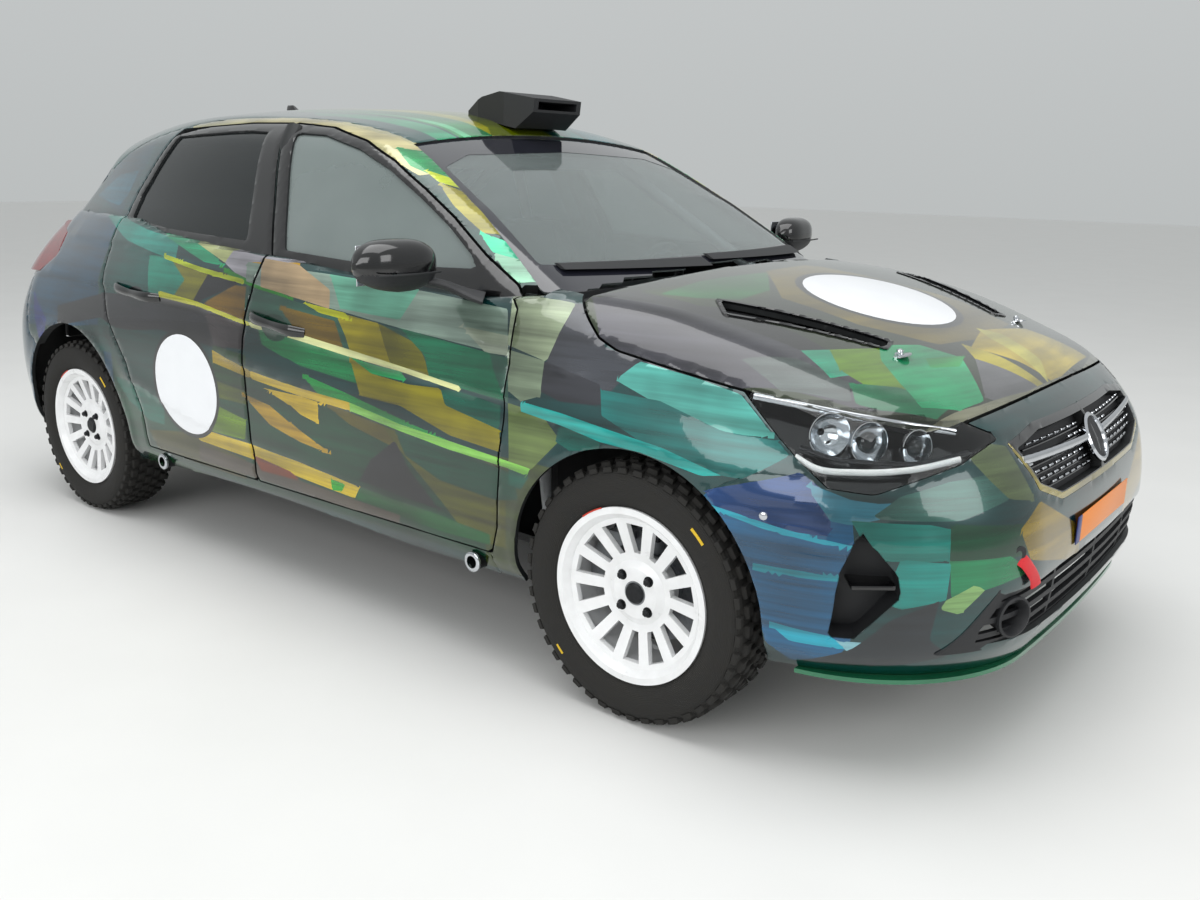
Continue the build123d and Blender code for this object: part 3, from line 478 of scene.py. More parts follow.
# Wrap: facets in order, the later over the earlier. The flank is drawn along the car and in height, with
# the nose unrolled beyond the front corner; the pillars in x and z; the bonnet and the roof in plan, y to
# the car's right
FLANK_FACETS = [
    ("123a3a", [(-2300, 150), (2900, 150), (2900, 1300), (-2300, 1300)]),
    ("0e4560", [(-2300, 150), (-1000, 150), (-1020, 1300), (-2300, 1300)]),
    ("173a35", [(-2300, 150), (-960, 150), (-1075, 730), (-1405, 690), (-2300, 640)]),
    ("143f2a", [(-1000, 300), (780, 300), (860, 560), (-190, 700), (-1000, 700)]),
    ("3f4a2a", [(780, 280), (1000, 280), (1000, 600), (780, 600)]),
    ("0f4a44", [(-1075, 640), (-860, 640), (-640, 1040), (-1140, 1120)]),
    ("1c1a1d", [(-1405, 765), (-1085, 835), (-680, 850), (-675, 755), (-935, 725), (-1075, 755),
                (-1385, 695)]),
    ("1e2f7a", [(-1625, 800), (-1485, 705), (-1520, 590), (-1570, 660)]),
    ("1c8f80", [(-1385, 1120), (-1130, 1095), (-865, 1060), (-635, 1040), (-615, 975), (-990, 1020)]),
    ("15a070", [(-760, 1055), (-555, 1045), (-415, 1010), (-330, 980), (-450, 985), (-625, 1025)]),
    ("b9bf93", [(-555, 1045), (-315, 1030), (-200, 1020), (-230, 995), (-340, 990), (-415, 1010)]),
    ("a9a7ad", [(-340, 990), (-315, 1030), (-180, 1020), (55, 1015), (60, 915), (-220, 945)]),
    ("c4a468", [(-215, 1000), (55, 1015), (60, 955), (-95, 935), (-200, 965)]),
    ("77752f", [(-725, 980), (-465, 965), (-395, 950), (-425, 900), (-445, 865), (-685, 875)]),
    ("16806a", [(-800, 985), (-660, 985), (-540, 925), (-590, 870), (-745, 870)]),
    ("7d5f24", [(-265, 930), (-190, 930), (-180, 830), (-360, 845), (-415, 865)]),
    ("15161a", [(-405, 970), (-220, 950), (-275, 925), (-420, 875), (-500, 830), (-450, 900)]),
    ("2b8f2a", [(-355, 980), (-135, 940), (60, 910), (-130, 920), (-300, 955)]),
    ("1c1b20", [(-1085, 840), (-680, 860), (-415, 860), (-280, 825), (-225, 785), (-305, 730), (-675, 755),
                (-1005, 735)]),
    ("3a3436", [(-415, 835), (-200, 820), (-200, 745), (-360, 740)]),
    ("173a35", [(-1075, 730), (-675, 735), (-720, 515), (-490, 480), (-665, 490), (-905, 540)]),
    ("1d3a1e", [(-370, 740), (-190, 730), (-210, 590), (-385, 565)]),
    ("4f5a20", [(-380, 630), (-205, 615), (-210, 575), (-365, 575)]),
    ("6a8a25", [(-500, 515), (-390, 550), (-225, 525), (-240, 460), (-500, 455)]),
    ("4b4a22", [(-820, 395), (-595, 425), (-255, 390), (-280, 320), (-780, 330)]),
    ("11604f", [(-1000, 560), (-835, 550), (-690, 510), (-715, 430), (-810, 430), (-925, 485)]),
    ("1d5a2c", [(-860, 315), (-300, 275), (-950, 245)]),
    ("8f9f95", [(-210, 945), (-230, 1000), (190, 990), (590, 970), (865, 950), (860, 845), (800, 850),
                (475, 875), (60, 915)]),
    ("b8a58c", [(-165, 1015), (55, 1005), (190, 950), (190, 900), (60, 915), (-135, 935)]),
    ("7fb09c", [(190, 990), (550, 975), (475, 895), (235, 905)]),
    ("a6afa0", [(700, 900), (865, 890), (860, 845), (785, 845)]),
    ("37564a", [(-210, 935), (60, 905), (475, 870), (800, 845), (860, 840), (860, 735), (695, 750),
                (475, 775), (55, 815), (-195, 830)]),
    ("6e5a2c", [(-40, 890), (210, 870), (250, 795), (55, 815)]),
    ("9a8f35", [(210, 895), (390, 880), (415, 825), (440, 775), (275, 795), (255, 835)]),
    ("6d6a33", [(390, 880), (545, 840), (570, 805), (585, 760), (440, 775), (415, 825)]),
    ("0f6b4a", [(475, 875), (800, 845), (815, 800), (850, 740), (695, 750), (585, 760), (570, 815)]),
    ("b8bc28", [(60, 910), (255, 895), (285, 875), (145, 885)]),
    ("157a45", [(-140, 825), (55, 800), (275, 785), (360, 745), (310, 710), (50, 730), (-115, 770)]),
    ("8c8432", [(270, 780), (360, 745), (505, 735), (625, 740), (640, 700), (830, 665), (830, 610),
                (655, 625), (470, 675), (310, 680)]),
    ("22a05a", [(270, 780), (365, 770), (475, 765), (505, 740), (360, 745)]),
    ("0d5a48", [(625, 740), (700, 740), (835, 725), (830, 665), (695, 690), (640, 700)]),
    ("2c9a4c", [(50, 710), (245, 680), (470, 640), (655, 610), (830, 595), (830, 580), (620, 605),
                (390, 635), (135, 655)]),
    ("b5901c", [(-240, 610), (-95, 590), (35, 535), (185, 485), (30, 500), (-105, 530)]),
    ("eac51a", [(-125, 640), (45, 640), (245, 625), (125, 630), (120, 570), (40, 585), (-15, 610)]),
    ("5d5620", [(135, 640), (465, 600), (580, 545), (465, 550), (260, 590)]),
    ("55572a", [(400, 605), (465, 550), (615, 440), (725, 350), (850, 355), (850, 565), (580, 600)]),
    ("191a1f", [(445, 575), (500, 500), (615, 410), (455, 420), (290, 430), (340, 500)]),
    ("0f4a36", [(445, 605), (655, 590), (880, 560), (890, 495), (815, 480), (615, 495), (485, 540)]),
    ("1f5a30", [(290, 410), (615, 395), (795, 380), (795, 350), (610, 350), (265, 370)]),
    ("5a5248", [(-510, 395), (15, 375), (455, 360), (450, 330), (0, 335), (-530, 340)]),
    ("e3c41a", [(-555, 455), (-225, 450), (20, 435), (290, 410), (265, 370), (15, 385), (-235, 400),
                (-510, 410)]),
    ("8a3d1c", [(-225, 415), (-35, 395), (15, 375), (-180, 370)]),
    ("2fb02a", [(160, 410), (225, 405), (210, 380), (165, 375)]),
    ("9aa58e", [(885, 990), (1090, 975), (1160, 925), (980, 845), (860, 870)]),
    ("7e8a78", [(860, 860), (980, 845), (965, 765), (900, 745), (860, 765)]),
    ("3b3d42", [(1090, 975), (1145, 975), (1170, 890), (1325, 865), (1525, 840), (1270, 870), (1150, 775),
                (980, 835), (1035, 915)]),
    ("6fa9a0", [(1270, 870), (1430, 850), (1540, 830), (1620, 755), (1425, 750), (1320, 785), (1195, 825)]),
    ("1a6a66", [(1150, 800), (1320, 795), (1480, 755), (1625, 750), (1655, 725), (1525, 665), (1425, 665),
                (1260, 705), (1150, 745)]),
    ("2a2b30", [(980, 845), (1150, 810), (1150, 765), (1025, 760), (965, 775)]),
    ("6b7a52", [(860, 735), (965, 725), (1025, 670), (930, 580), (860, 590)]),
    ("145a50", [(1025, 705), (1145, 685), (1145, 670), (1055, 650), (1010, 665)]),
    ("1fb0a8", [(900, 745), (1025, 735), (1145, 720), (1320, 700), (1475, 665), (1425, 655), (1260, 680),
                (1145, 685), (1025, 705), (900, 720)]),
    ("0d5a48", [(860, 580), (930, 570), (900, 525), (860, 530)]),
    ("15608c", [(1430, 620), (1810, 650), (1835, 350), (1815, 305), (1700, 265), (1615, 310), (1535, 485)]),
    ("123f78", [(1430, 625), (1540, 660), (1680, 695), (1755, 655), (1755, 575), (1575, 575), (1465, 595)]),
    ("5b8a9a", [(1680, 680), (1810, 650), (1890, 645), (1965, 650), (1890, 615), (1810, 600), (1755, 605)]),
    ("3f5f58", [(1950, 660), (2100, 685), (2280, 695), (2300, 640), (2125, 610), (1890, 615), (1865, 620)]),
    ("2f7a70", [(1810, 610), (2035, 605), (2125, 590), (2095, 530), (1895, 530), (1840, 570)]),
    ("5f6b50", [(2180, 755), (2325, 735), (2360, 690), (2410, 625), (2300, 640), (2235, 680), (2180, 720)]),
    ("14432c", [(2095, 605), (2430, 580), (2465, 520), (2265, 520), (2095, 530)]),
    ("a08838", [(2435, 620), (2680, 520), (2710, 430), (2570, 465), (2390, 505), (2340, 575)]),
    ("167a4c", [(2095, 530), (2305, 525), (2395, 480), (2220, 460), (2110, 445)]),
    ("1a8a80", [(1950, 535), (2100, 525), (2095, 445), (1960, 425), (1905, 445)]),
    ("8fae7e", [(2095, 445), (2185, 475), (2220, 460), (2145, 410), (2080, 425)]),
    ("5fb4c8", [(1435, 600), (1575, 585), (1810, 560), (1810, 550), (1580, 570), (1440, 590)]),
    ("4aa5b5", [(1560, 490), (1815, 495), (1815, 480), (1565, 475)]),
    ("55b5cc", [(1605, 365), (1775, 355), (1840, 325), (1675, 325)]),
    ("9fc4cc", [(1795, 345), (1930, 345), (1905, 300), (1845, 310)]),
    ("1d2226", [(1720, 270), (1840, 325), (1935, 400), (2075, 445), (2060, 355), (2140, 310), (1995, 285),
                (1855, 275)]),
    ("e6c41c", [(-180, 685), (45, 665), (265, 655), (265, 630), (45, 640), (-180, 660)]),
    ("a88f20", [(-375, 725), (-180, 685), (-180, 660), (-375, 685)]),
    ("a8dc8a", [(265, 655), (470, 625), (655, 610), (830, 595), (930, 585), (920, 565), (830, 575),
                (655, 585), (465, 605), (265, 630)]),
    ("e6e9b8", [(-180, 830), (55, 820), (275, 800), (475, 780), (695, 755), (695, 740), (475, 765),
                (270, 780), (55, 800), (-175, 815)]),
    ("cfd03a", [(-685, 880), (-445, 865), (-180, 830), (-175, 815), (-445, 850), (-680, 860)]),
    ("b8c830", [(-705, 995), (-470, 970), (-220, 950), (-220, 935), (-465, 955), (-695, 980)]),
]
BONNET_FACETS = [
    ("26301c", [(800, -900), (2200, -900), (2200, 900), (800, 900)]),
    ("3a3a40", [(980, 705), (1235, 620), (1485, 590), (1655, 585), (1725, 590), (1805, 510), (1805, 575),
                (1685, 685), (1435, 785), (1125, 795), (1070, 785)]),
    ("2b3a24", [(975, -200), (1400, -430), (1800, -520), (1805, -700), (1300, -790), (975, -760)]),
    ("1c1d1c", [(975, 700), (1040, 590), (1255, 565), (1455, 540), (1645, 565), (1500, 615), (1255, 645)]),
    ("2c3a1a", [(1050, 605), (1095, 410), (1245, 315), (1340, 480), (1220, 595)]),
    ("1f6a32", [(1100, 590), (1090, 400), (1130, 130), (1245, 315), (1250, 470), (1185, 545)]),
    ("7a6a20", [(1120, 120), (1110, -120), (1230, -290), (1420, -350), (1655, -295), (1700, 0), (1660, 220),
                (1500, 330), (1300, 350)]),
    ("1d2a18", [(1000, -150), (1290, -390), (1745, -560), (1745, -470), (1500, -330), (1180, -170)]),
    ("4a5250", [(1420, 735), (1520, 655), (1635, 640), (1660, 685), (1530, 750)]),
    ("5fa58a", [(1500, 615), (1560, 495), (1630, 585), (1600, 660)]),
    ("7a9a50", [(1535, 545), (1595, 410), (1690, 480), (1740, 565), (1670, 620), (1595, 610)]),
    ("2f7a55", [(1635, 640), (1710, 555), (1810, 515), (1805, 575), (1715, 655), (1670, 680)]),
    ("3fae78", [(1585, 395), (1635, 280), (1725, 245), (1840, 395), (1825, 500), (1770, 580), (1700, 535),
                (1625, 470)]),
    ("15a048", [(1680, 350), (1725, 220), (1745, 305), (1710, 390)]),
    ("c4b860", [(1685, 145), (1770, 110), (1880, 95), (1870, 245), (1745, 210)]),
    ("d8be1a", [(1660, -60), (1690, -330), (1840, -400), (1885, 40), (1805, 70), (1710, 145)]),
    ("e8e08a", [(1645, -60), (1695, -110), (1820, -45), (1880, 70), (1835, 45), (1700, -10)]),
    ("6a6a6c", [(1745, 210), (1880, 130), (1860, 350), (1835, 380)]),
    ("8a8a78", [(1800, 620), (1840, 430), (1872, 200), (1880, -200), (1840, -430), (1790, -620),
                (2000, -700), (2000, 700)]),
]
PILLAR_FACETS = [
    ("13464a", [(-2300, 900), (-700, 900), (-820, 1420), (-1100, 1500), (-2300, 1500)]),
    ("c9c49c", [(-900, 1380), (-560, 1400), (100, 1350), (330, 1260), (420, 1280), (200, 1500),
                (-900, 1500)]),
    ("d8d0a8", [(-830, 1415), (-565, 1430), (-165, 1415), (150, 1365), (250, 1330), (200, 1335),
                (-95, 1380), (-490, 1410)]),
    ("2f9a5c", [(195, 1335), (260, 1325), (435, 1240), (375, 1255), (285, 1285)]),
    ("c8d83a", [(315, 1280), (425, 1245), (470, 1220), (385, 1245)]),
    ("a09a58", [(385, 1245), (485, 1210), (640, 1115), (595, 1120), (475, 1185)]),
    ("4fc49a", [(580, 1125), (675, 1095), (735, 1055), (650, 1075)]),
    ("8fb8a0", [(650, 1075), (735, 1055), (795, 1010), (745, 1005)]),
    ("133f4e", [(-1500, 1155), (-1450, 1285), (-1115, 1355), (-1110, 1285), (-1190, 1165), (-1175, 1095)]),
    ("1b6a80", [(-1520, 1150), (-1230, 1125), (-1190, 1165), (-1170, 1250), (-1360, 1230)]),
]
ROOF_FACETS = [
    ("1b4f4c", [(-1700, -600), (300, -600), (300, 600), (-1700, 600)]),
    ("7f8f1e", [(-1500, 60), (215, -40), (215, 240), (-500, 330), (-1200, 200)]),
    ("c9c82a", [(-900, 180), (150, 200), (215, 250), (-300, 290)]),
    ("2f9a5a", [(-700, 330), (215, 240), (215, 380), (-500, 420)]),
    ("8fdcae", [(-200, 372), (215, 330), (215, 362), (-200, 392)]),
    ("37a578", [(-400, 440), (215, 390), (215, 470), (-300, 500)]),
    ("1f7f78", [(-300, -260), (215, -200), (215, -60), (-400, -140)]),
    ("9fe0c4", [(-100, -118), (215, -96), (215, -76), (-100, -104)]),
    ("0f5f66", [(-700, -420), (215, -380), (215, -230), (-600, -300)]),
]


def round_outline(u, v, half_u, half_v, count=40):
    """Points of an ellipse."""
    turns = np.linspace(0, 2 * math.pi, count, endpoint=False)
    return [(u + half_u * math.cos(t), v + half_v * math.sin(t)) for t in turns]


ROUNDEL = "eef0f4"
# Bare roundels: white with a black edge on the rear doors and the bonnet; dark ovals behind the handles are
# painted shade of their recesses
FLANK_FACETS += [
    ("0b0b0c", round_outline(-548, 590, 190, 176)), (ROUNDEL, round_outline(-548, 590, 176, 163)),
    # Painted shade: a dark oval behind the front door handle and one behind the rear door handle
    ("0c3d2c", round_outline(-55, 826, 62, 40)), ("0d1214", round_outline(-830, 846, 62, 36))]
BONNET_FACETS += [
    ("0c0c0d", round_outline(1405, 10, 212, 262)), (ROUNDEL, round_outline(1405, 10, 192, 242))]


def score_facets(sheet, facets, coordinates):
    """Cut a sheet along every facet's outline, so that colours change on an edge."""
    points, tris = sheet
    for colour, outline in facets:
        u, v = coordinates(points)
        points, tris = trim(points, tris, outline_field(outline, u, v), keep_inside=False)
    return points, tris


def paint(points, tris, facets, coordinates, ground):
    """Colour of each triangle by the last facet that holds its middle."""
    middle = points[tris].mean(1)
    u, v = coordinates(middle)
    colours = np.tile(np.array(linear(ground)), (len(tris), 1))
    for colour, outline in facets:
        colours[outline_field(outline, u, v) < 0] = linear(colour)
    return colours


# Base sheets
STEP = 14.0
lower_sheet = skin_grid(lower_field, -1180.0, 1150.0, 640.0, -0.52, STEP)
cabin_sheet = skin_grid(cabin_field, -1150.0, 150.0, 980.0, -0.12, STEP)

SCUTTLE_BLOCK = block(600, 985, 700, 800, 1200)
TAILGATE_BLOCK = block(-2300, -1517, 560, 560, 1700)
SCREEN_ZONE = zone(front_cut(SCREEN), limit(0, 208, True))
# The two forms run into each other by a little, so that no slit shows between them
CABIN_LAP, LOWER_LAP = 4, 2
OUT_OF_CABIN = lambda p: -cabin_field(p) - CABIN_LAP
OUT_OF_LOWER = lambda p: -lower_field(p) - LOWER_LAP


def plan_uv(p):
    """Plan coordinates, y to the car's right."""
    return p[:, 0], -p[:, 1]


def pillar_uv(p):
    """Side coordinates of the cabin."""
    return p[:, 0], p[:, 2]


def nose_uv(p):
    """Front coordinates."""
    return np.abs(p[:, 1]), p[:, 2]


def welded(points, tris):
    """A half sheet and its mirror image, merged on the centre plane."""
    points, tris = joined([(points, tris), mirrored(points, tris)])
    _, first, back = np.unique(np.round(points, 2), axis=0, return_index=True, return_inverse=True)
    tris = back.ravel()[tris]
    whole = (tris[:, 0] != tris[:, 1]) & (tris[:, 1] != tris[:, 2]) & (tris[:, 0] != tris[:, 2])
    return points[first], tris[whole]


def sheet_of(base, cuts, whole=False, proud=0.0):
    """Part of a form's skin with its normals, moved out by a few millimetres."""
    source, field = (lower_sheet, lower_field) if base == "lower" else (cabin_sheet, cabin_field)
    points, tris = panel_sheet(source, cuts)
    if whole:
        points, tris = welded(points, tris)
    normals = slopes_of(field, points)
    return points + normals * proud, tris, normals


def panel(name, parts, body, wall, whole=False, flip=False, proud=0.0, material=None, slot="body_paint",
          **kind):
    """Film-wrapped panel of one or more sheets, each with its cuts, its facets and their drawing view."""
    sheets, indices, tints = [], [], []
    for base, cuts, coordinates, facets in parts:
        field = lower_field if base == "lower" else cabin_field
        points, tris, _ = sheet_of(base, cuts, whole)
        points, tris = score_facets((points, tris), facets, coordinates)
        colour = paint(points, tris, facets, coordinates, GROUND)
        normals = slopes_of(field, points)
        solid, faces, outer = thicken(points + normals * proud, tris, normals, wall)
        tint = np.ones((len(faces), 4))
        tint[:outer] = colour
        index = np.ones(len(faces), int)
        index[:outer] = np.where(np.abs(colour[:, :3] - linear(ROUNDEL)[:3]).max(1) < 1e-6, 2, 0)
        if flip:
            solid, faces = mirrored(solid, faces)
        sheets.append((solid, faces))
        indices.append(index)
        tints.append(tint)
    points, tris = joined(sheets)
    return mesh_piece(name, points, tris, [material or paint_wrap, shell_back, roundel_film], body, slot,
                      material_index=np.concatenate(indices), colours=np.concatenate(tints), **kind)


GROUND = "143a34"

# Finishes
# Printed film under clear lacquer: deep gloss, fine streaks along the car, faint orange peel
paint_wrap, tree, shader = finish("printed_film_on_gloss_enamel", GROUND, 0.24, 0.35, Coat_Weight=1.0,
                                  Coat_Roughness=0.02)
film = add_node(tree, "ShaderNodeAttribute", {"attribute_name": "wrap"})
where = add_node(tree, "ShaderNodeTexCoord")
stretch = add_node(tree, "ShaderNodeMapping", {"Rotation": (0, 0.07, 0), "Scale": (1.6, 1.6, 42.0)},
                   {"Vector": where.outputs["Object"]})
streak = add_node(tree, "ShaderNodeTexNoise", {"Scale": 1.0, "Detail": 4.0, "Roughness": 0.6},
                  {"Vector": stretch.outputs["Vector"]})
cloud = add_node(tree, "ShaderNodeTexNoise", {"Scale": 1000 / 300, "Detail": 3.0},
                 {"Vector": where.outputs["Object"]})
both = add_node(tree, "ShaderNodeMath", {"operation": "MULTIPLY"},
                {0: streak.outputs["Fac"], 1: cloud.outputs["Fac"]})
shift = add_node(tree, "ShaderNodeMapRange",
                 {"From Min": 0.12, "From Max": 0.42, "To Min": 0.28, "To Max": 1.12},
                 {"Value": both.outputs[0]})
tone = add_node(tree, "ShaderNodeHueSaturation", {"Saturation": 1.35},
                {"Color": film.outputs["Color"], "Value": shift.outputs["Result"]})
tree.links.new(tone.outputs["Color"], shader.inputs["Base Color"])
peel = add_node(tree, "ShaderNodeTexNoise", {"Scale": 1000 / 9, "Detail": 1.0},
                {"Vector": where.outputs["Object"]})
lift = add_node(tree, "ShaderNodeBump", {"Strength": 0.03, "Distance": 0.0006},
                {"Height": peel.outputs["Fac"]})
tree.links.new(lift.outputs["Normal"], shader.inputs["Coat Normal"])
# Cut vinyl of the bare roundels: even white
roundel_film = speckled("white_cut_vinyl", ROUNDEL, 0.3, 0.0, (90, "e9ebef", "f2f4f7", 0.26, 0.34),
                        Coat_Weight=0.8, Coat_Roughness=0.03)
# Enamelled inner steel: dark, satin, slightly cloudy
shell_back = speckled("satin_enamel_inner_steel", "17191a", 0.5, 0.1, (60, "131516", "202324", 0.42, 0.6))
# Lacquered trim: black mirror gloss
black_gloss = speckled("gloss_black_trim_lacquer", "060607", 0.12, 0.0, (25, "070708", "0c0c0e", 0.1, 0.18),
                       Coat_Weight=0.6, Coat_Roughness=0.05)
# Grained polypropylene: matt charcoal with a fine grain
black_moulded = speckled("grained_black_polypropylene", "1b1c1e", 0.55, 0.0,
                         (2.5, "18191b", "232427", 0.5, 0.65, 0.25))
# Laminated glass: clear, faint green
clear_glass = speckled("laminated_clear_glass", "b9c4c3", 0.02, 0.0, (300, "aebab9", "c2cccb", 0.01, 0.03),
                       Transmission_Weight=0.82, IOR=1.45)
# Tempered glass whose grey is lifted paler: painted reflection of the sky
sky_paled_glass = speckled("tempered_glass_with_painted_sky_reflection", "a3afad", 0.04, 0.0, (260, "96a3a1", "aeb9b7", 0.03, 0.07),
                        Transmission_Weight=0.62, IOR=1.45)
# Glass with smoke film: dark grey, glossy
smoked_glass = speckled("smoke_film_on_glass", "3b4446", 0.03, 0.0, (300, "333c3e", "424c4e", 0.02, 0.05),
                        Transmission_Weight=0.85, IOR=1.45)
# Ceramic frit and sunstrip film on glass: near black, smooth
frit = speckled("ceramic_frit_on_glass", "1c1d24", 0.08, 0.0, (40, "191a21", "24252e", 0.06, 0.12),
                Coat_Weight=1.0, Coat_Roughness=0.02)
# Polycarbonate lamp cover: clear with a hard coat
lamp_cover = speckled("hard_coated_clear_polycarbonate", "f2f5f6", 0.01, 0.0,
                      (120, "eef2f3", "f7f9fa", 0.005, 0.02), Transmission_Weight=1.0, IOR=1.3)
# Vacuum-coated reflector: bright aluminium
reflector = speckled("vacuum_aluminised_reflector", "d4d7da", 0.12, 1.0, (12, "c2c6ca", "e4e7ea", 0.06, 0.2))
# Chrome plate: cool bright metal
chrome = speckled("bright_chrome_plate", "c9ccd0", 0.08, 1.0, (30, "bcbfc4", "d5d8dc", 0.05, 0.14))
# Opal light guide: milky white acrylic
light_guide = speckled("opal_acrylic_light_guide", "f4f5f3", 0.25, 0.0, (20, "eceeec", "fbfcfb", 0.2, 0.3),
                       Coat_Weight=0.4)
# Dyed red lamp lens
red_lens = speckled("dyed_red_acrylic_lens", "6d0d12", 0.08, 0.0, (30, "520a0e", "86141a", 0.06, 0.14),
                    Coat_Weight=0.8, Coat_Roughness=0.02)
# Carcass rubber: dusty black with turned ribs on the sidewall
tyre_rubber, tree, shader = finish("vulcanised_tyre_rubber", "171717", 0.85)
mottle(tree, shader, 22, "121212", "25231f", 0.75, 0.95, 0.3)
ring = add_node(tree, "ShaderNodeAttribute", {"attribute_name": "ring"})
wave = add_node(tree, "ShaderNodeMath", {"operation": "SINE"}, {0: add_node(
    tree, "ShaderNodeMath", {"operation": "MULTIPLY", 1: 1.6}, {0: ring.outputs["Fac"]}).outputs[0]})
ribs = add_node(tree, "ShaderNodeBump", {"Strength": 0.5, "Distance": 0.0006}, {"Height": wave.outputs[0]})
tree.links.new(ribs.outputs["Normal"], shader.inputs["Normal"])
# Stove enamel on cast wheels: white with brake dust towards brown-grey
rim_enamel = speckled("white_stove_enamel_on_alloy", "e9eaec", 0.28, 0.0,
                      (45, "dcdcdc", "f4f5f6", 0.22, 0.38), Coat_Weight=0.3)
# Turned brake steel and cast parts
disc_steel = speckled("ground_brake_steel", "7d7f82", 0.35, 1.0, (8, "6a6c70", "94969a", 0.28, 0.45))
cast_metal = speckled("sand_cast_aluminium", "8c8f92", 0.5, 0.9, (4, "7c7f82", "9da0a3", 0.42, 0.6, 0.4))
dark_steel = speckled("black_oxide_steel", "2a2b2d", 0.45, 0.8, (10, "222325", "353638", 0.38, 0.55))
# Chassis: powder coat, raw iron, stainless pipe
powder_coat = speckled("black_powder_coated_steel", "1d1e20", 0.6, 0.2,
                       (3, "191a1c", "26272a", 0.52, 0.68, 0.3))
raw_iron = speckled("raw_cast_iron", "4a4744", 0.7, 0.6, (6, "3e3b39", "5a5652", 0.6, 0.8, 0.5))
stainless = speckled("heat_tinted_stainless", "8a8378", 0.3, 1.0, (90, "8d8c88", "7c6a55", 0.22, 0.4))
# Cabin: cage enamel, seat cloth with a 3 mm weave, suede
cage_enamel = speckled("white_enamel_on_cage_tube", "c9ccce", 0.35, 0.1, (60, "c2c5c8", "d3d6d8", 0.3, 0.42))
seat_cloth = speckled("woven_fireproof_seat_cloth", "16171a", 0.9, 0.0,
                      (3, "101113", "1f2024", 0.82, 0.96, 0.5), Sheen_Weight=0.3)
suede = speckled("black_suede_rim_wrap", "121213", 0.95, 0.0, (5, "0e0e0f", "1b1b1d", 0.9, 1.0, 0.3),
                 Sheen_Weight=0.4)
# Plate sheet: orange-yellow reflective film, bare; dark blue band; red strap webbing
plate_film = speckled("reflective_plate_film", "e8842a", 0.35, 0.0, (6, "e07a22", "ee9136", 0.3, 0.42, 0.1))
plate_band = speckled("dark_blue_plate_film", "1c2a6b", 0.35, 0.0, (6, "182560", "22307a", 0.3, 0.42))
strap_web = speckled("red_woven_polyester_webbing", "c8101c", 0.7, 0.0,
                     (2.5, "b40d18", "d81a26", 0.62, 0.8, 0.5), Sheen_Weight=0.2)
yellow_paint = speckled("yellow_tyre_marking_paint", "d8b21c", 0.6, 0.0, (12, "c9a416", "e2bd2a", 0.5, 0.7))
red_paint = speckled("red_rim_marking_paint", "c23018", 0.5, 0.0, (12, "b32a14", "cc3a20", 0.45, 0.6))
# Splitter paint: emerald gloss
lip_paint = speckled("emerald_gloss_enamel", "1c6b48", 0.25, 0.2, (160, "175c3d", "2a8058", 0.2, 0.3),
                     Coat_Weight=0.8)

# Solids that keep their own shape
NODE_FINISH = {
    "side_frame": shell_back, "door_front": shell_back, "door_rear": shell_back, "tailgate": shell_back,
    "windscreen": clear_glass, "door_glass_front": sky_paled_glass, "door_glass_rear": smoked_glass,
    "tailgate_glass": smoked_glass, "knuckle": cast_metal, "tail_lamps": red_lens, "rim": rim_enamel,
    "grille_lower": black_moulded, "splitter": lip_paint, "roof_scoop": black_moulded,
    "wipers": black_moulded, "scuttle_panel": black_moulded, "floor_pan": powder_coat,
    "front_suspension": powder_coat, "rear_axle": powder_coat, "engine_block": raw_iron,
    "exhaust": stainless, "roll_cage": cage_enamel, "seats": seat_cloth, "dashboard": black_moulded,
    "steering_wheel": suede, "roof_panel": shell_back, "bonnet": shell_back, "bumper": shell_back,
    "fender": shell_back, "mirror": black_gloss, "headlamps": lamp_cover,
    "tyre": tyre_rubber, "grille_upper": black_moulded}
for node_name, node in NODES.items():
    kind = max((k for k in NODE_FINISH if node_name.startswith(k)), key=len)
    for material_slot in node.material_slots:
        material_slot.material = NODE_FINISH[kind]

# Panels, with the thickness that each shows at its edges
BUMPER_WALL = FENDER_WALL = 14
BONNET_WALL, ROOF_WALL, TAILGATE_WALL = 16, 24, 28
SIDE_WALL, DOOR_WALL, DOOR_FRAME_WALL = 32, 44, 30
OUT_OF_BONNET = outside(side_cut(BONNET_CUT, SHUT_GAP))
UNDER_BONNET = outside(side_cut(BONNET_CUT, NOSE_GAP))
LAMP_ZONE = zone(side_cut(LAMP_CUT, 0.3), lambda p: 470 - np.abs(p[:, 1]))
FOG_ZONE = zone(side_cut(FOG_POCKET), lambda p: 600 - np.abs(p[:, 1]))
TAIL_LAMP_ZONE = zone(side_cut(TAIL_LAMP), lambda p: 565 - np.abs(p[:, 1]))
TAIL_BLOCK = block(-2300, -1512, 565, 555, 1700)
OUT_OF_DOORS = [outside(side_cut(FRONT_DOOR, SHUT_GAP)), outside(side_cut(REAR_DOOR, SHUT_GAP))]
FRONT_HALF = limit(0, 0, True)
REAR_HALF = limit(0, 0, False)
FENDER_CUTS = [
    FRONT_HALF, limit(0, 775.3, True), limit(0, 1700, False), limit(2, 262, True),
    outside(side_cut(FRONT_DOOR, SHUT_GAP)), OUT_OF_BONNET, outside(side_cut(BUMPER_CUT)),
    outside(LAMP_ZONE), arch_cut(FRONT_ARCH), outside(SCUTTLE_BLOCK), OUT_OF_CABIN]
SIDE_LOW_CUTS = [
    limit(0, 775, False), limit(2, 258, True), outside(TAIL_BLOCK), outside(side_cut(REAR_BUMPER_CUT)),
    outside(TAIL_LAMP_ZONE), arch_cut(REAR_ARCH), OUT_OF_CABIN] + OUT_OF_DOORS
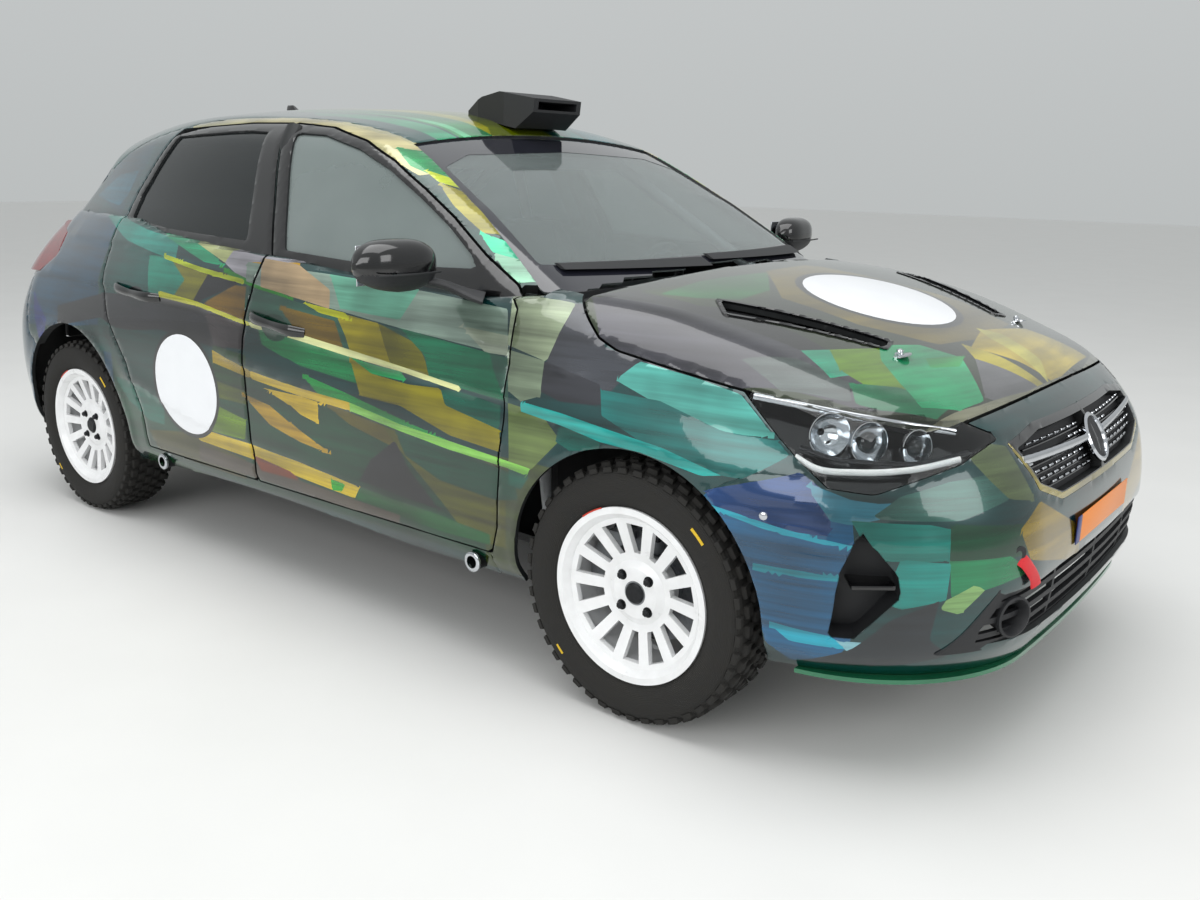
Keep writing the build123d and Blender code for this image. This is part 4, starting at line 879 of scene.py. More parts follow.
SIDE_HIGH_CUTS = [
    limit(0, 990, False), limit(0, -1900, True), outside(SCREEN_ZONE),
    outside(block(-1900, 208, 556, 1250, 1700)), outside(TAIL_BLOCK),
    outside(block(770, 1100, 1000, 800, 1003)), OUT_OF_LOWER] + OUT_OF_DOORS
BONNET_CUTS = [FRONT_HALF, side_cut(BONNET_CUT), plan_cut(BONNET_REAR), outside(plan_cut(VENT))]
BUMPER_CUTS = [
    FRONT_HALF, side_cut(BUMPER_CUT), limit(2, 245.3, True), UNDER_BONNET, outside(LAMP_ZONE),
    outside(FOG_ZONE), outside(front_cut(UPPER_GRILLE)), outside(front_cut(LOWER_GRILLE)),
    arch_cut(FRONT_ARCH)]
REAR_BUMPER_CUTS = [
    REAR_HALF, side_cut(REAR_BUMPER_CUT), limit(2, 262, True), outside(TAIL_BLOCK), arch_cut(REAR_ARCH),
    outside(side_cut(TAIL_LAMP, 0.3))]
TAIL_CUTS = [limit(0, -1600, False), TAILGATE_BLOCK, OUT_OF_CABIN]
TAIL_HIGH_CUTS = [limit(0, -1500, False), TAILGATE_BLOCK, outside(front_cut(REAR_PANE)), OUT_OF_LOWER]
ROOF_CUTS = [block(-1508, 208, 555.7, 1250, 1700)]
TAIL_FACETS = [("123f52", [(0, 0), (900, 0), (900, 1700), (0, 1700)]),
               ("0e5a66", [(0, 700), (560, 820), (560, 1000), (0, 900)])]

for name, parts, body, wall, node_name in (
        ("bonnet_skin", [("lower", BONNET_CUTS, plan_uv, BONNET_FACETS)], "bonnet", BONNET_WALL, "bonnet"),
        ("front_bumper_skin", [("lower", BUMPER_CUTS, flank_uv, FLANK_FACETS)], "body", BUMPER_WALL,
         "bumper_front"),
        ("rear_bumper_skin", [("lower", REAR_BUMPER_CUTS, nose_uv, TAIL_FACETS)], "body", BUMPER_WALL,
         "bumper_rear"),
        ("tailgate_skin", [("lower", TAIL_CUTS, nose_uv, TAIL_FACETS),
                           ("cabin", TAIL_HIGH_CUTS, nose_uv, TAIL_FACETS)],
         "tailgate", TAILGATE_WALL, "tailgate"),
        ("roof_skin", [("cabin", ROOF_CUTS, plan_uv, ROOF_FACETS)], "body", ROOF_WALL, "roof_panel")):
    panel(name, parts, body, wall, whole=True, replaces=[node_name])
for side in ("left", "right"):
    flip = side == "right"
    panel(f"fender_skin_{side}", [("lower", FENDER_CUTS, flank_uv, FLANK_FACETS)], "body", FENDER_WALL,
          flip=flip, replaces=[f"fender_{side}"])
    panel(f"side_skin_{side}", [("lower", SIDE_LOW_CUTS, flank_uv, FLANK_FACETS),
                                ("cabin", SIDE_HIGH_CUTS, pillar_uv, PILLAR_FACETS)], "body", SIDE_WALL,
          flip=flip, replaces=[f"side_frame_{side}"])
    for end, door_line, window in (("front", FRONT_DOOR, FRONT_WINDOW), ("rear", REAR_DOOR, REAR_WINDOW)):
        door, line = f"door_{end}_{side}", side_cut(door_line)
        panel(f"{end}_door_skin_{side}", [("lower", [line, OUT_OF_CABIN], flank_uv, FLANK_FACETS)],
              door, DOOR_WALL, flip=flip, replaces=[door])
        frame_cuts = [line, outside(side_cut(window)), limit(1, 588, True), OUT_OF_LOWER]
        panel(f"{end}_door_frame_{side}", [("cabin", frame_cuts, pillar_uv, [])],
              door, DOOR_FRAME_WALL, flip=flip, material=black_gloss)


# Panes, set in by the depth of their frames
def pane(name, cuts, body, material, whole=False, flip=False, **kind):
    """Curved sheet of glass of the cabin's form."""
    points, tris, normals = sheet_of("cabin", cuts + [OUT_OF_LOWER], whole, -GLASS_INSET)
    points, tris, _ = thicken(points, tris, normals, GLASS, 0.5)
    if flip:
        points, tris = mirrored(points, tris)
    mesh_piece(name, points, tris, [material], body, "window_glass", **kind)


GLASS, GLASS_INSET = 5, 8
SCREEN_CUTS = [front_cut(SCREEN, -1), limit(0, 208.6, True)]
pane("windscreen_pane", SCREEN_CUTS, "body", clear_glass, whole=True, replaces=["windscreen"])
pane("tailgate_pane", [limit(0, -1500, False), front_cut(REAR_PANE, 5)], "tailgate", smoked_glass, whole=True,
     replaces=["tailgate_glass"])
for side in ("left", "right"):
    # The front panes' paler grey glass is a painted reflection of the sky
    for end, window, material in (("front", FRONT_WINDOW, sky_paled_glass), ("rear", REAR_WINDOW, smoked_glass)):
        pane(f"{end}_door_pane_{side}", [side_cut(window, 6)], f"door_{end}_{side}", material,
             flip=side == "right", replaces=[f"door_glass_{end}_{side}"])

# Black frit border and sunstrip on the windscreen's outer face
CLEAR_PANE = [(-10, 1052), (640, 1052), (560, 1290), (430, 1325), (-10, 1340)]
points, tris, normals = sheet_of("cabin", SCREEN_CUTS + [outside(front_cut(CLEAR_PANE)), OUT_OF_LOWER],
                                 True, -7)
points, tris, _ = thicken(points, tris, normals, 0.6, 0)
mesh_piece("windscreen_frit_border", points, tris, [frit], "body", "black_plastic")


# Shapes built from lathed, swept and bevelled forms
def outward(points, tris):
    """A closed mesh turned the right way out."""
    a, b, c = (points[tris[:, k]] for k in range(3))
    volume = np.einsum("ij,ij->i", a, np.cross(b, c)).sum()
    return (points, tris[:, ::-1]) if volume < 0 else (points, tris)


def ring_faces(rows, columns, close_rows=True):
    """Triangles of a grid that closes on itself along its columns, and along its rows if asked."""
    r = np.arange(rows if close_rows else rows - 1)
    c = np.arange(columns)
    r, c = (g.ravel() for g in np.meshgrid(r, c, indexing="ij"))
    r2, c2 = (r + 1) % rows, (c + 1) % columns
    a, b, d, e = r * columns + c, r2 * columns + c, r2 * columns + c2, r * columns + c2
    return np.concatenate([np.stack([a, b, d], 1), np.stack([a, d, e], 1)])


def lathed(profile, count, start=0.0, sweep=2 * math.pi):
    """A closed section of radius and y turned round the y axis; less than a turn gets flat ends."""
    profile = np.array(profile, float)
    whole = sweep >= 2 * math.pi
    turns = start + np.linspace(0, sweep, count, endpoint=not whole)
    points = np.stack([
        np.outer(np.sin(turns), profile[:, 0]), np.tile(profile[:, 1], (len(turns), 1)),
        np.outer(np.cos(turns), profile[:, 0])], 2).reshape(-1, 3)
    n = len(profile)
    tris = ring_faces(len(turns), n, close_rows=whole)
    if not whole:
        fan = np.stack([np.zeros(n - 2, int), np.arange(1, n - 1), np.arange(2, n)], 1)
        last = (len(turns) - 1) * n
        tris = np.concatenate([tris, fan, fan[:, ::-1] + last])
    return outward(points, tris)


def swept(path, half_widths, half_heights, sides=14, up=(0, 0, 1)):
    """A round-edged bar along a path, capped at its ends."""
    path = np.array(path, float)
    along = np.gradient(path, axis=0)
    along /= np.linalg.norm(along, axis=1)[:, None]
    across = np.cross(along, np.array(up, float))
    across /= np.linalg.norm(across, axis=1)[:, None]
    lift = np.cross(across, along)
    turns = np.linspace(0, 2 * math.pi, sides, endpoint=False)
    wide, high = np.broadcast_to(half_widths, len(path)), np.broadcast_to(half_heights, len(path))
    points = (path[:, None] + across[:, None] * (wide[:, None] * np.cos(turns))[:, :, None]
              + lift[:, None] * (high[:, None] * np.sin(turns))[:, :, None]).reshape(-1, 3)
    tris = ring_faces(len(path), sides, close_rows=False)
    total = len(points)
    points = np.concatenate([points, path[:1], path[-1:]])
    near = np.stack([np.full(sides, total), np.arange(sides), (np.arange(sides) + 1) % sides], 1)
    last = (len(path) - 1) * sides
    far = np.stack([np.full(sides, total + 1), last + (np.arange(sides) + 1) % sides,
                    last + np.arange(sides)], 1)
    tris = np.concatenate([tris, near[:, ::-1], far[:, ::-1]])
    return outward(points, tris)


def bevelled(size, radius, steps=2):
    """A block with rounded edges round the origin."""
    shape = bmesh.new()
    bmesh.ops.create_cube(shape, size=1.0)
    bmesh.ops.scale(shape, vec=size, verts=shape.verts)
    bmesh.ops.bevel(shape, geom=shape.edges[:], offset=radius, segments=steps, profile=0.5, affect="EDGES")
    bmesh.ops.triangulate(shape, faces=shape.faces[:])
    shape.verts.ensure_lookup_table()
    points = np.array([v.co[:] for v in shape.verts])
    tris = np.array([[v.index for v in f.verts] for f in shape.faces])
    shape.free()
    return outward(points, tris)


def aimed(points, place, direction, up=(0, 0, 1)):
    """Turn a shape's y axis to a direction and move it to its place."""
    forward = np.array(direction, float) / np.linalg.norm(direction)
    side = np.cross(forward, np.array(up, float))
    side /= np.linalg.norm(side)
    return points @ np.stack([side, forward, np.cross(side, forward)]) + np.array(place, float)


def smooth_path(points, count):
    """A smooth line through a few points."""
    points = np.array(points, float)
    t = np.concatenate([[0], np.cumsum(np.linalg.norm(np.diff(points, axis=0), axis=1))])
    at = np.linspace(0, t[-1], count)
    return np.stack([spline(t, points[:, k], at) for k in range(3)], 1)


def pair(name, shapes, materials, body, slot, **kind):
    """The same shape on the left and the right; names end in the side."""
    points, tris = joined(shapes)
    index = np.concatenate([np.full(len(t), i) for i, (_, t) in enumerate(shapes)])
    for side in ("left", "right"):
        p, t = (points, tris) if side == "left" else mirrored(points, tris)
        own = {k: [n.format(side) for n in v] if k == "replaces" else v for k, v in kind.items()}
        mesh_piece(f"{name}_{side}", p, t, materials, body.format(side), slot, material_index=index, **own)


# Geometry Nodes: a small shape set on every point, turned by the point's own attribute
def set_in_place():
    """Tree that instances one piece on points; inputs are the piece, its size and its finish."""
    tree = bpy.data.node_groups.new("set_in_place", "GeometryNodeTree")
    for label, kind in (("Geometry", "NodeSocketGeometry"), ("Piece", "NodeSocketObject"),
                        ("Size", "NodeSocketFloat"), ("Finish", "NodeSocketMaterial")):
        tree.interface.new_socket(label, in_out="INPUT", socket_type=kind)
    tree.interface.new_socket("Geometry", in_out="OUTPUT", socket_type="NodeSocketGeometry")
    given = add_node(tree, "NodeGroupInput")
    shape = add_node(tree, "GeometryNodeObjectInfo", None, {"Object": given.outputs["Piece"]})
    turn = add_node(tree, "GeometryNodeInputNamedAttribute", {"data_type": "FLOAT_VECTOR", "Name": "turn"})
    placed = add_node(tree, "GeometryNodeInstanceOnPoints", None, {
        "Points": given.outputs["Geometry"], "Instance": shape.outputs["Geometry"],
        "Rotation": turn.outputs["Attribute"], "Scale": given.outputs["Size"]})
    real = add_node(tree, "GeometryNodeRealizeInstances", None, {"Geometry": placed.outputs["Instances"]})
    coated = add_node(tree, "GeometryNodeSetMaterial", None, {
        "Geometry": real.outputs["Geometry"], "Material": given.outputs["Finish"]})
    add_node(tree, "NodeGroupOutput", None, {"Geometry": coated.outputs["Geometry"]})
    return tree


PLACING = set_in_place()


def plain_object(name, points, tris):
    """An object in metres for a tree to use."""
    mesh = bpy.data.meshes.new(name)
    mesh.from_pydata((np.array(points) * MM).tolist(), [], np.array(tris).tolist())
    made = bpy.data.objects.new(name, mesh)
    bpy.context.scene.collection.objects.link(made)
    return made


def repeated(name, places, turns, shape, material, body, replaces=(), size=1.0):
    """Copies of a shape on points as one plain mesh."""
    carrier = plain_object(name, places, np.zeros((0, 3), int))
    layer = carrier.data.attributes.new("turn", "FLOAT_VECTOR", "POINT")
    layer.data.foreach_set("vector", np.array(turns, np.float32).ravel())
    pattern = plain_object(name + "_pattern", *shape)
    modifier = carrier.modifiers.new("placing", "NODES")
    modifier.node_group = PLACING
    values = {"Piece": pattern, "Size": size, "Finish": material}
    for item in PLACING.interface.items_tree:
        if item.in_out == "INPUT" and item.name in values:
            modifier[item.identifier] = values[item.name]
    graph = bpy.context.evaluated_depsgraph_get()
    mesh = bpy.data.meshes.new_from_object(carrier.evaluated_get(graph))
    bpy.data.objects.remove(carrier)
    bpy.data.objects.remove(pattern)
    mesh.materials.clear()
    mesh.materials.append(material)
    made = bpy.data.objects.new(name, mesh)
    bpy.context.scene.collection.objects.link(made)
    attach(made, body)
    if replaces:
        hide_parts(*replaces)
    return made


# Wheels
WHEEL_Y, WHEEL_Z = 755, 320
NUTS, NUT_RING = 4, 54
AXLES = {"front": 1210, "rear": -1328}
CARCASS = [
    (209, 77), (222, 82), (232, 90), (248, 95.5), (262, 97), (276, 96.5), (290, 93), (299, 88), (304, 80),
    (309, 68), (311, 40), (311.5, 0)]
CARCASS += [(r, -y) for r, y in CARCASS[-2::-1]] + [(209, -60), (209, 60)]
TREAD_PITCHES = 44
# Tread blocks of one pitch: y, width, length, offset along, foot radius, top radius
TREAD = [(0, 24, 29, 0, 309, 320), (31, 22, 27, 20, 308, 320), (-31, 22, 27, 20, 308, 320),
         (59, 22, 30, 2, 306, 319.6), (-59, 22, 30, 2, 306, 319.6), (83, 17, 26, 22, 298, 311),
         (-83, 17, 26, 22, 298, 311)]


def tread_pitch():
    """One pitch of gravel tread: seven tapered blocks over the wheel's centre."""
    blocks = []
    for y, width, length, along, foot, top in TREAD:
        points, tris = bevelled((length, width, top - foot), 1.5, 1)
        points = points * np.where(points[:, 2:3] > 0, [0.9, 0.88, 1], [1.08, 1.05, 1])
        arc = (points[:, 0] + np.sign(y) * points[:, 1] * 0.25 + along) / top
        reach = points[:, 2] + (foot + top) / 2
        blocks.append((np.stack([reach * np.sin(arc), points[:, 1] + y, reach * np.cos(arc)], 1), tris))
    return joined(blocks)


def facing_out(shape, sign):
    """A shape made for the left wheel, turned to its own side."""
    return shape if sign > 0 else mirrored(*shape)


turn_steps = np.linspace(0, 2 * math.pi, TREAD_PITCHES, endpoint=False)
for end, axle_x in AXLES.items():
    for side, sign in (("left", 1), ("right", -1)):
        body = f"wheel_{end}_{side}"
        centre = np.array([axle_x, sign * WHEEL_Y, WHEEL_Z])
        points, tris = lathed(CARCASS, 120)
        carcass = mesh_piece(f"tyre_carcass_{end}_{side}", points + centre, tris, [tyre_rubber], body,
                             "tyre_rubber", replaces=[f"tyre_{end}_{side}"], smooth_angle=40)
        layer = carcass.data.attributes.new("ring", "FLOAT", "POINT")
        layer.data.foreach_set("value", np.hypot(points[:, 0], points[:, 2]).astype(np.float32))
        repeated(f"tread_blocks_{end}_{side}", np.tile(centre, (TREAD_PITCHES, 1)),
                 [(0, t, 0) for t in turn_steps], tread_pitch(), tyre_rubber, body)
        marks = []
        for start, sweep, inner, outer, y in ((0.7, 0.16, 272, 279, 97.2), (3.9, 0.1, 268, 274, 97.2)):
            marks.append(lathed([(inner, y - 1), (outer, y - 1), (outer, y + 0.4), (inner, y + 0.4)], 12,
                                start, sweep))
        points, tris = facing_out(joined(marks), sign)
        mesh_piece(f"tyre_marks_{end}_{side}", points + centre, tris, [yellow_paint], body, "tyre_rubber")
        points, tris = facing_out(lathed([(215, 86), (218.5, 86), (218.5, 87), (215, 87)], 12, 5.6, 0.3),
                                  sign)
        mesh_piece(f"rim_edge_mark_{end}_{side}", points + centre, tris, [red_paint], body, "rim_white")
        nuts = []
        for k in range(NUTS):
            a = math.pi / 4 + k * 2 * math.pi / NUTS
            at = np.array([NUT_RING * math.sin(a), 0, NUT_RING * math.cos(a)])
            seat = lathed([(6, 55), (13, 55), (13, 56.8), (6, 56.8)], 24)
            nut = lathed([(0.1, 54), (9, 54), (9, 66), (6.5, 69), (0.1, 69)], 6)
            nuts += [(seat[0] + at, seat[1]), (nut[0] + at, nut[1])]
        nuts.append(lathed([(0.1, 50), (24, 50), (26, 58), (22, 63), (0.1, 64)], 40))
        points, tris = facing_out(joined(nuts), sign)
        mesh_piece(f"wheel_nuts_{end}_{side}", points + centre, tris, [dark_steel], body, "chassis_steel")
        disc = [lathed([(76, -30), (142, -30), (142, -42), (76, -42)], 72),
                lathed([(34, -24), (78, -24), (78, -42), (34, -42)], 48)]
        points, tris = facing_out(joined(disc), sign)
        mesh_piece(f"brake_disc_{end}_{side}", points + centre, tris, [disc_steel], body, "chassis_steel",
                   smooth_angle=30)
        caliper = [(100, -14), (150, -14), (164, -22), (164, -52), (150, -60), (100, -60)]
        points, tris = facing_out(lathed(caliper, 18, 4.1, 1.15), sign)
        mesh_piece(f"brake_caliper_{end}_{side}", points + centre, tris, [cast_metal],
                   f"knuckle_{side}" if end == "front" else "body", "chassis_steel", smooth_angle=30)


# Headlamps
def tray(cuts, depth, start=3.0):
    """A pocket behind an outline of the lower skin: walls and back, open to the outside."""
    points, tris, normals = sheet_of("lower", [FRONT_HALF] + cuts)
    solid, faces, outer = thicken(points - normals * start, tris, normals, depth, 0)
    return solid, faces[outer:, ::-1]


def on_skin(x, z, inset):
    """Point of the flank at a place seen from the side, sunk by an inset."""
    near, far = 300.0, 1000.0
    for _ in range(30):
        y = (near + far) / 2
        near, far = (y, far) if lower_field(np.array([[x, y, z]]))[0] < -inset else (near, y)
    return np.array([x, near, z])


LAMP_OPENING = [side_cut(LAMP_CUT, -1.5), limit(1, 470.5, True)]
points, tris, normals = sheet_of("lower", [FRONT_HALF] + LAMP_OPENING)
cover = thicken(points, tris, normals, 3, 1.0)
housing = tray(LAMP_OPENING, 52)
bowl = [(8, -34), (26, -26), (38, -10), (45, 8), (47, 8), (40, -12), (27, -29), (8, -37)]
lens_ball = [(0.1, -6), (24, -6), (24, 0), (18, 9), (9, 13), (0.1, 14)]
shapes = []
# Lamps: place along and up, size, depth, direction
for x, z, size, sink, aim in ((1640, 764, 1.0, 26, (1, 0.75, 0.1)), (1712, 752, 0.95, 26, (1, 0.6, 0.1)),
                              (1790, 742, 0.85, 28, (1, 0.45, 0.1))):
    centre = on_skin(x, z, sink)
    turned = lathed(bowl, 40)
    shapes.append((aimed(turned[0] * size, centre, aim), turned[1]))
glass_balls = []
for x, z, size, sink, aim in ((1712, 752, 0.9, 26, (1, 0.6, 0.1)), (1790, 742, 0.8, 28, (1, 0.45, 0.1))):
    ball = lathed(lens_ball, 32)
    glass_balls.append((aimed(ball[0] * size, on_skin(x, z, sink), aim), ball[1]))
guide, brow, shelf = [
    swept(smooth_path([on_skin(x, z, inset) for x, z in line], 30), wide, high)
    for line, inset, wide, high in (
        (((1600, 722), (1640, 704), (1720, 700), (1800, 706), (1868, 722)), 9, 4.5, 7),
        (((1480, 826), (1560, 818), (1660, 803), (1760, 786), (1840, 768)), 9, 4, 9),
        (((1600, 738), (1660, 722), (1740, 716), (1820, 716), (1872, 730)), 20, 12, 4))]
pair("headlamp_cover", [cover[:2]], [lamp_cover], "body", "lamp_lens")
pair("headlamp_housing", [housing, shelf], [black_gloss, black_moulded], "body", "black_plastic",
     replaces=["headlamps"])
pair("headlamp_reflectors", [joined(shapes), joined(glass_balls), guide, brow],
     [reflector, smoked_glass, light_guide, chrome], "body", "lamp_lens")

# Fog pockets with their ledge
POCKET = [side_cut(FOG_POCKET, 0.5), limit(1, 600, True)]
ledge = bevelled((92, 70, 10), 3)
pair("fog_pocket", [tray(POCKET, 62, 0.5), (aimed(ledge[0], (1760, 742, 470), (0.8, 1, 0)), ledge[1])],
     [black_moulded, black_gloss], "body", "black_plastic")

# Upper grille: dark back, bright dashes, chrome bars and a bare round badge place
GRILLE_PITCH, DASH_PITCH = 17.5, 40
BADGE_Z, BADGE_CLEAR = 682, 64
BAR_Z, BAR_RISE, BAR_CLEAR = 688, 0.03, 12
points, tris, normals = sheet_of("lower", [FRONT_HALF, front_cut(UPPER_GRILLE, 2)], whole=True, proud=-26)
points, tris, _ = thicken(points, tris, normals, 3, 0)
mesh_piece("upper_grille_back", points, tris, [black_moulded], "body", "black_plastic",
           replaces=["grille_upper"])
GRILLE_RIM = [
    ("141517", [(-20, 500), (700, 500), (700, 900), (-20, 900)]),
    ("b3a878", [(-20, 590), (300, 590), (430, 630), (470, 742), (447, 742), (408, 652), (300, 612),
                (-20, 612)])]
RIM_CUTS = [FRONT_HALF, front_cut(UPPER_GRILLE), outside(front_cut(UPPER_GRILLE, -16))]
panel("upper_grille_surround", [("lower", RIM_CUTS, nose_uv, GRILLE_RIM)], "body", 26, whole=True, proud=0.6,
      slot="black_plastic")


def nose_point(y, z, inset):
    """Point of the nose at a place seen from the front, sunk by an inset, with the skin's normal."""
    near, far = 1500.0, 2100.0
    for _ in range(30):
        x = (near + far) / 2
        near, far = (x, far) if lower_field(np.array([[x, y, z]]))[0] < -inset else (near, x)
    place = np.array([near, y, z])
    return place, slopes_of(lower_field, place[None])[0]


places, turns = [], []
for row, z in enumerate(np.arange(617, 742, GRILLE_PITCH)):
    for y in np.arange(-440, 441, DASH_PITCH) + (DASH_PITCH // 2 if row % 2 else 0):
        free = outline_field(UPPER_GRILLE, np.array([abs(y)]), np.array([z]))[0] < -24
        off_bar = abs(z - BAR_Z - abs(y) * BAR_RISE) > BAR_CLEAR
        if free and math.hypot(y, z - BADGE_Z) > BADGE_CLEAR and off_bar:
            place, normal = nose_point(y, z, 16)
            places.append(place)
            turns.append((0, -math.asin(normal[2]), math.atan2(normal[1], normal[0])))
repeated("upper_grille_dashes", places, turns, bevelled((9, 23, 5.5), 1.6, 1), chrome, "body")
mesh_rods = []
for z in np.arange(608, 730, GRILLE_PITCH):
    line = [nose_point(y, z, 22)[0] for y in np.linspace(-430, 430, 25)
            if outline_field(UPPER_GRILLE, np.array([abs(y)]), np.array([z]))[0] < -14]
    if len(line) > 2:
        mesh_rods.append(swept(line, 4, 2.2, 6))
points, tris = joined(mesh_rods)
mesh_piece("upper_grille_mesh", points, tris, [black_gloss], "body", "black_plastic")
bar = swept([nose_point(y, BAR_Z + y * BAR_RISE, 4)[0] for y in np.linspace(62, 432, 24)], 6, 11)
badge_at, badge_normal = nose_point(0, BADGE_Z, 4)
hoop = lathed([(50, -4), (60, -4), (62, 2), (57, 7), (52, 5)], 64)
blank = lathed([(0.1, -6), (52, -6), (52, 0), (0.1, 2)], 64)
pair("upper_grille_bar", [bar], [chrome], "body", "lamp_lens")
points, tris = joined([(aimed(p, badge_at, badge_normal), t) for p, t in (hoop, blank)])
mesh_piece("bare_badge_place", points, tris, [chrome, black_moulded], "body", "lamp_lens",
           material_index=np.concatenate([np.zeros(len(hoop[1])), np.ones(len(blank[1]))]))

# Round cooling duct in the right of the lower grille
duct = lathed([(34, -40), (36, -40), (46, 0), (46, 6), (41, 8), (37, 2), (30, -38)], 48)
mouth = lathed([(0.1, -40), (34, -40), (34, -36), (0.1, -36)], 48)
aim = (1, -0.45, 0)
place, _ = nose_point(-520, 385, -2)
points, tris = joined([(aimed(p, place, aim), t) for p, t in (duct, mouth)])
mesh_piece("brake_cooling_duct", points, tris, [black_moulded], "body", "black_plastic")

# Blank plate, tow strap, bumper bolts
PLATE_Z = 512
plate = bevelled((2.2, 400, 66), 0.9)
band = bevelled((2.6, 30, 66), 0.9)
place, _ = nose_point(-20, PLATE_Z, 0)
points, tris = joined([(p + [place[0] + 1.2, y, PLATE_Z], t) for (p, t), y in ((plate, -10), (band, -226))])
mesh_piece("blank_front_plate", points, tris, [plate_film, plate_band], "body", "black_plastic",
           material_index=np.concatenate([np.zeros(len(plate[1])), np.ones(len(band[1]))]))
strap_line = [(1966, -516, 520), (1992, -510, 510), (2006, -494, 488), (2014, -478, 462), (2016, -474, 448)]
strap = swept(smooth_path(strap_line, 24), 17, 3.5, up=(1, -0.5, 0.6))
mesh_piece("tow_strap", *strap, [strap_web], "body", "black_plastic")
place, _ = nose_point(-516, 524, 1)
socket = lathed([(0.1, -6), (17, -6), (17, 1), (13, 2), (0.1, -2)], 32)
mesh_piece("tow_eye_hole", aimed(socket[0], place, (1, -0.5, 0)), socket[1], [black_moulded], "body",
           "black_plastic")
bolt = lathed([(0.1, -3), (9, -3), (9, 2), (6, 4), (0.1, 4.5)], 20)
pair("bumper_bolt", [(aimed(bolt[0], on_skin(1563, 598, 0), (0.2, 1, 0)), bolt[1])], [chrome], "body",
     "chassis_steel")


# Bonnet pins with their plates
def bonnet_top(x, y):
    """Height of the bonnet."""
    return float(crown(BONNET_ROWS, np.array([x], float), np.array([y], float))[0])


PIN_X, PIN_Y = 1640, 399
plate_disc = lathed([(0.1, -1), (26, -1), (26, 2), (22, 3.5), (0.1, 3.5)], 32)
post = lathed([(0.1, 2), (7, 2), (7, 13), (5, 16), (0.1, 16)], 20)
clip = swept(smooth_path([(-22, 8, 0), (0, 9, 6), (26, 8, 0), (0, 9, -6), (-18, 8, -3)], 20), 1.6, 1.6, 8)
tilt = (-0.22, 0.08, 1)
pin_at = (PIN_X, PIN_Y, bonnet_top(PIN_X, PIN_Y))
pin_shapes = [(aimed(p, pin_at, tilt, up=(1, 0, 0)), t) for p, t in (plate_disc, post, clip)]
pair("bonnet_pin", pin_shapes, [chrome, chrome, chrome], "bonnet", "chassis_steel")

# Bonnet vents: raised lip and a black floor
points, tris, normals = sheet_of("lower", [FRONT_HALF, plan_cut(VENT, 9), outside(plan_cut(VENT, -1))],
                                 proud=5)
lip = thicken(points, tris, normals, 8, 2)
points, tris, normals = sheet_of("lower", [FRONT_HALF, plan_cut(VENT, 4)], proud=-22)
vent_floor = thicken(points, tris, normals, 2, 0)
pair("bonnet_vent", [lip[:2], vent_floor[:2]], [black_gloss, black_moulded], "bonnet", "black_plastic")

# Door handles
for end, ends in (("front", ((-168, 852), (-138, 849), (-40, 838), (54, 828), (84, 824))),
                  ("rear", ((-968, 872), (-935, 871), (-820, 862), (-712, 857), (-680, 856)))):
    outs = (-6, 22, 33, 22, -6)
    path = smooth_path([on_skin(x, z, -out) for (x, z), out in zip(ends, outs)], 26)
    fat = np.interp(np.linspace(0, 1, 26), [0, 0.15, 0.5, 0.85, 1], [9, 11, 8, 11, 9])
    pair(f"{end}_door_handle", [swept(path, fat * 0.8, fat * 1.5)], [black_gloss], f"door_{end}_{{}}",
         "black_plastic")


# Door mirrors
def mirror_shell():
    """Rounded mirror housing: closed sections along the car's width."""
    count, sides = 34, 44
    along = np.linspace(0.004, 0.996, count)
    full = (1 - np.abs(2 * along - 1) ** 3.0) ** 0.5
    turns = np.linspace(0, 2 * math.pi, sides, endpoint=False)
    c, s = np.cos(turns), np.sin(turns)
    round_x, round_z = np.sign(c) * np.abs(c) ** 0.8, np.sign(s) * np.abs(s) ** 0.72
    y = 868 + 230 * along
    x = 600 - 18 * along[:, None] + full[:, None] * 52 * round_x * np.where(round_x > 0, 1.15, 0.8)
    low = np.interp(along, [0, 0.5, 1], [66, 66, 50])
    z = 1056 + full[:, None] * np.where(round_z > 0, 62.0, low[:, None]) * round_z
    points = np.stack([x, np.tile(y[:, None], (1, sides)), z], 2).reshape(-1, 3)
    tris = ring_faces(count, sides, close_rows=False)
    total = len(points)
    points = np.concatenate([points, points[:sides].mean(0)[None], points[-sides:].mean(0)[None]])
    near = np.stack([np.full(sides, total), np.arange(sides), (np.arange(sides) + 1) % sides], 1)
    far = np.stack([np.full(sides, total + 1), (count - 1) * sides + (np.arange(sides) + 1) % sides,
                    (count - 1) * sides + np.arange(sides)], 1)
    tris = np.concatenate([tris, near[:, ::-1], far[:, ::-1]])
    return outward(points, tris)


shell = mirror_shell()
middle = shell[0][shell[1]].mean(1)
MIRROR_SEAM_Z = 1038
upper_half = shell[1][middle[:, 2] > MIRROR_SEAM_Z]
lower_half = shell[1][middle[:, 2] <= MIRROR_SEAM_Z]
seam = swept(smooth_path([(650, 884, 1037), (664, 985, 1037), (650, 1080, 1037)], 20), 1.5, 2.5, 8)
foot_line = smooth_path([(700, 786, 968), (668, 815, 980), (630, 862, 1003), (602, 915, 1016)], 18)
along_foot = np.linspace(0, 1, 18)
foot = swept(foot_line, np.interp(along_foot, [0, 0.4, 1], [80, 42, 30]),
             np.interp(along_foot, [0, 1], [14, 11]), 20)
face = bevelled((3, 180, 96), 1.2)
pair("door_mirror", [(shell[0], upper_half), (shell[0], lower_half), foot, seam,
                     (face[0] + [554, 978, 1054], face[1])],
     [black_gloss, black_moulded, black_moulded, black_moulded, chrome], "door_front_{}", "black_plastic",
     replaces=["mirror_{}"])

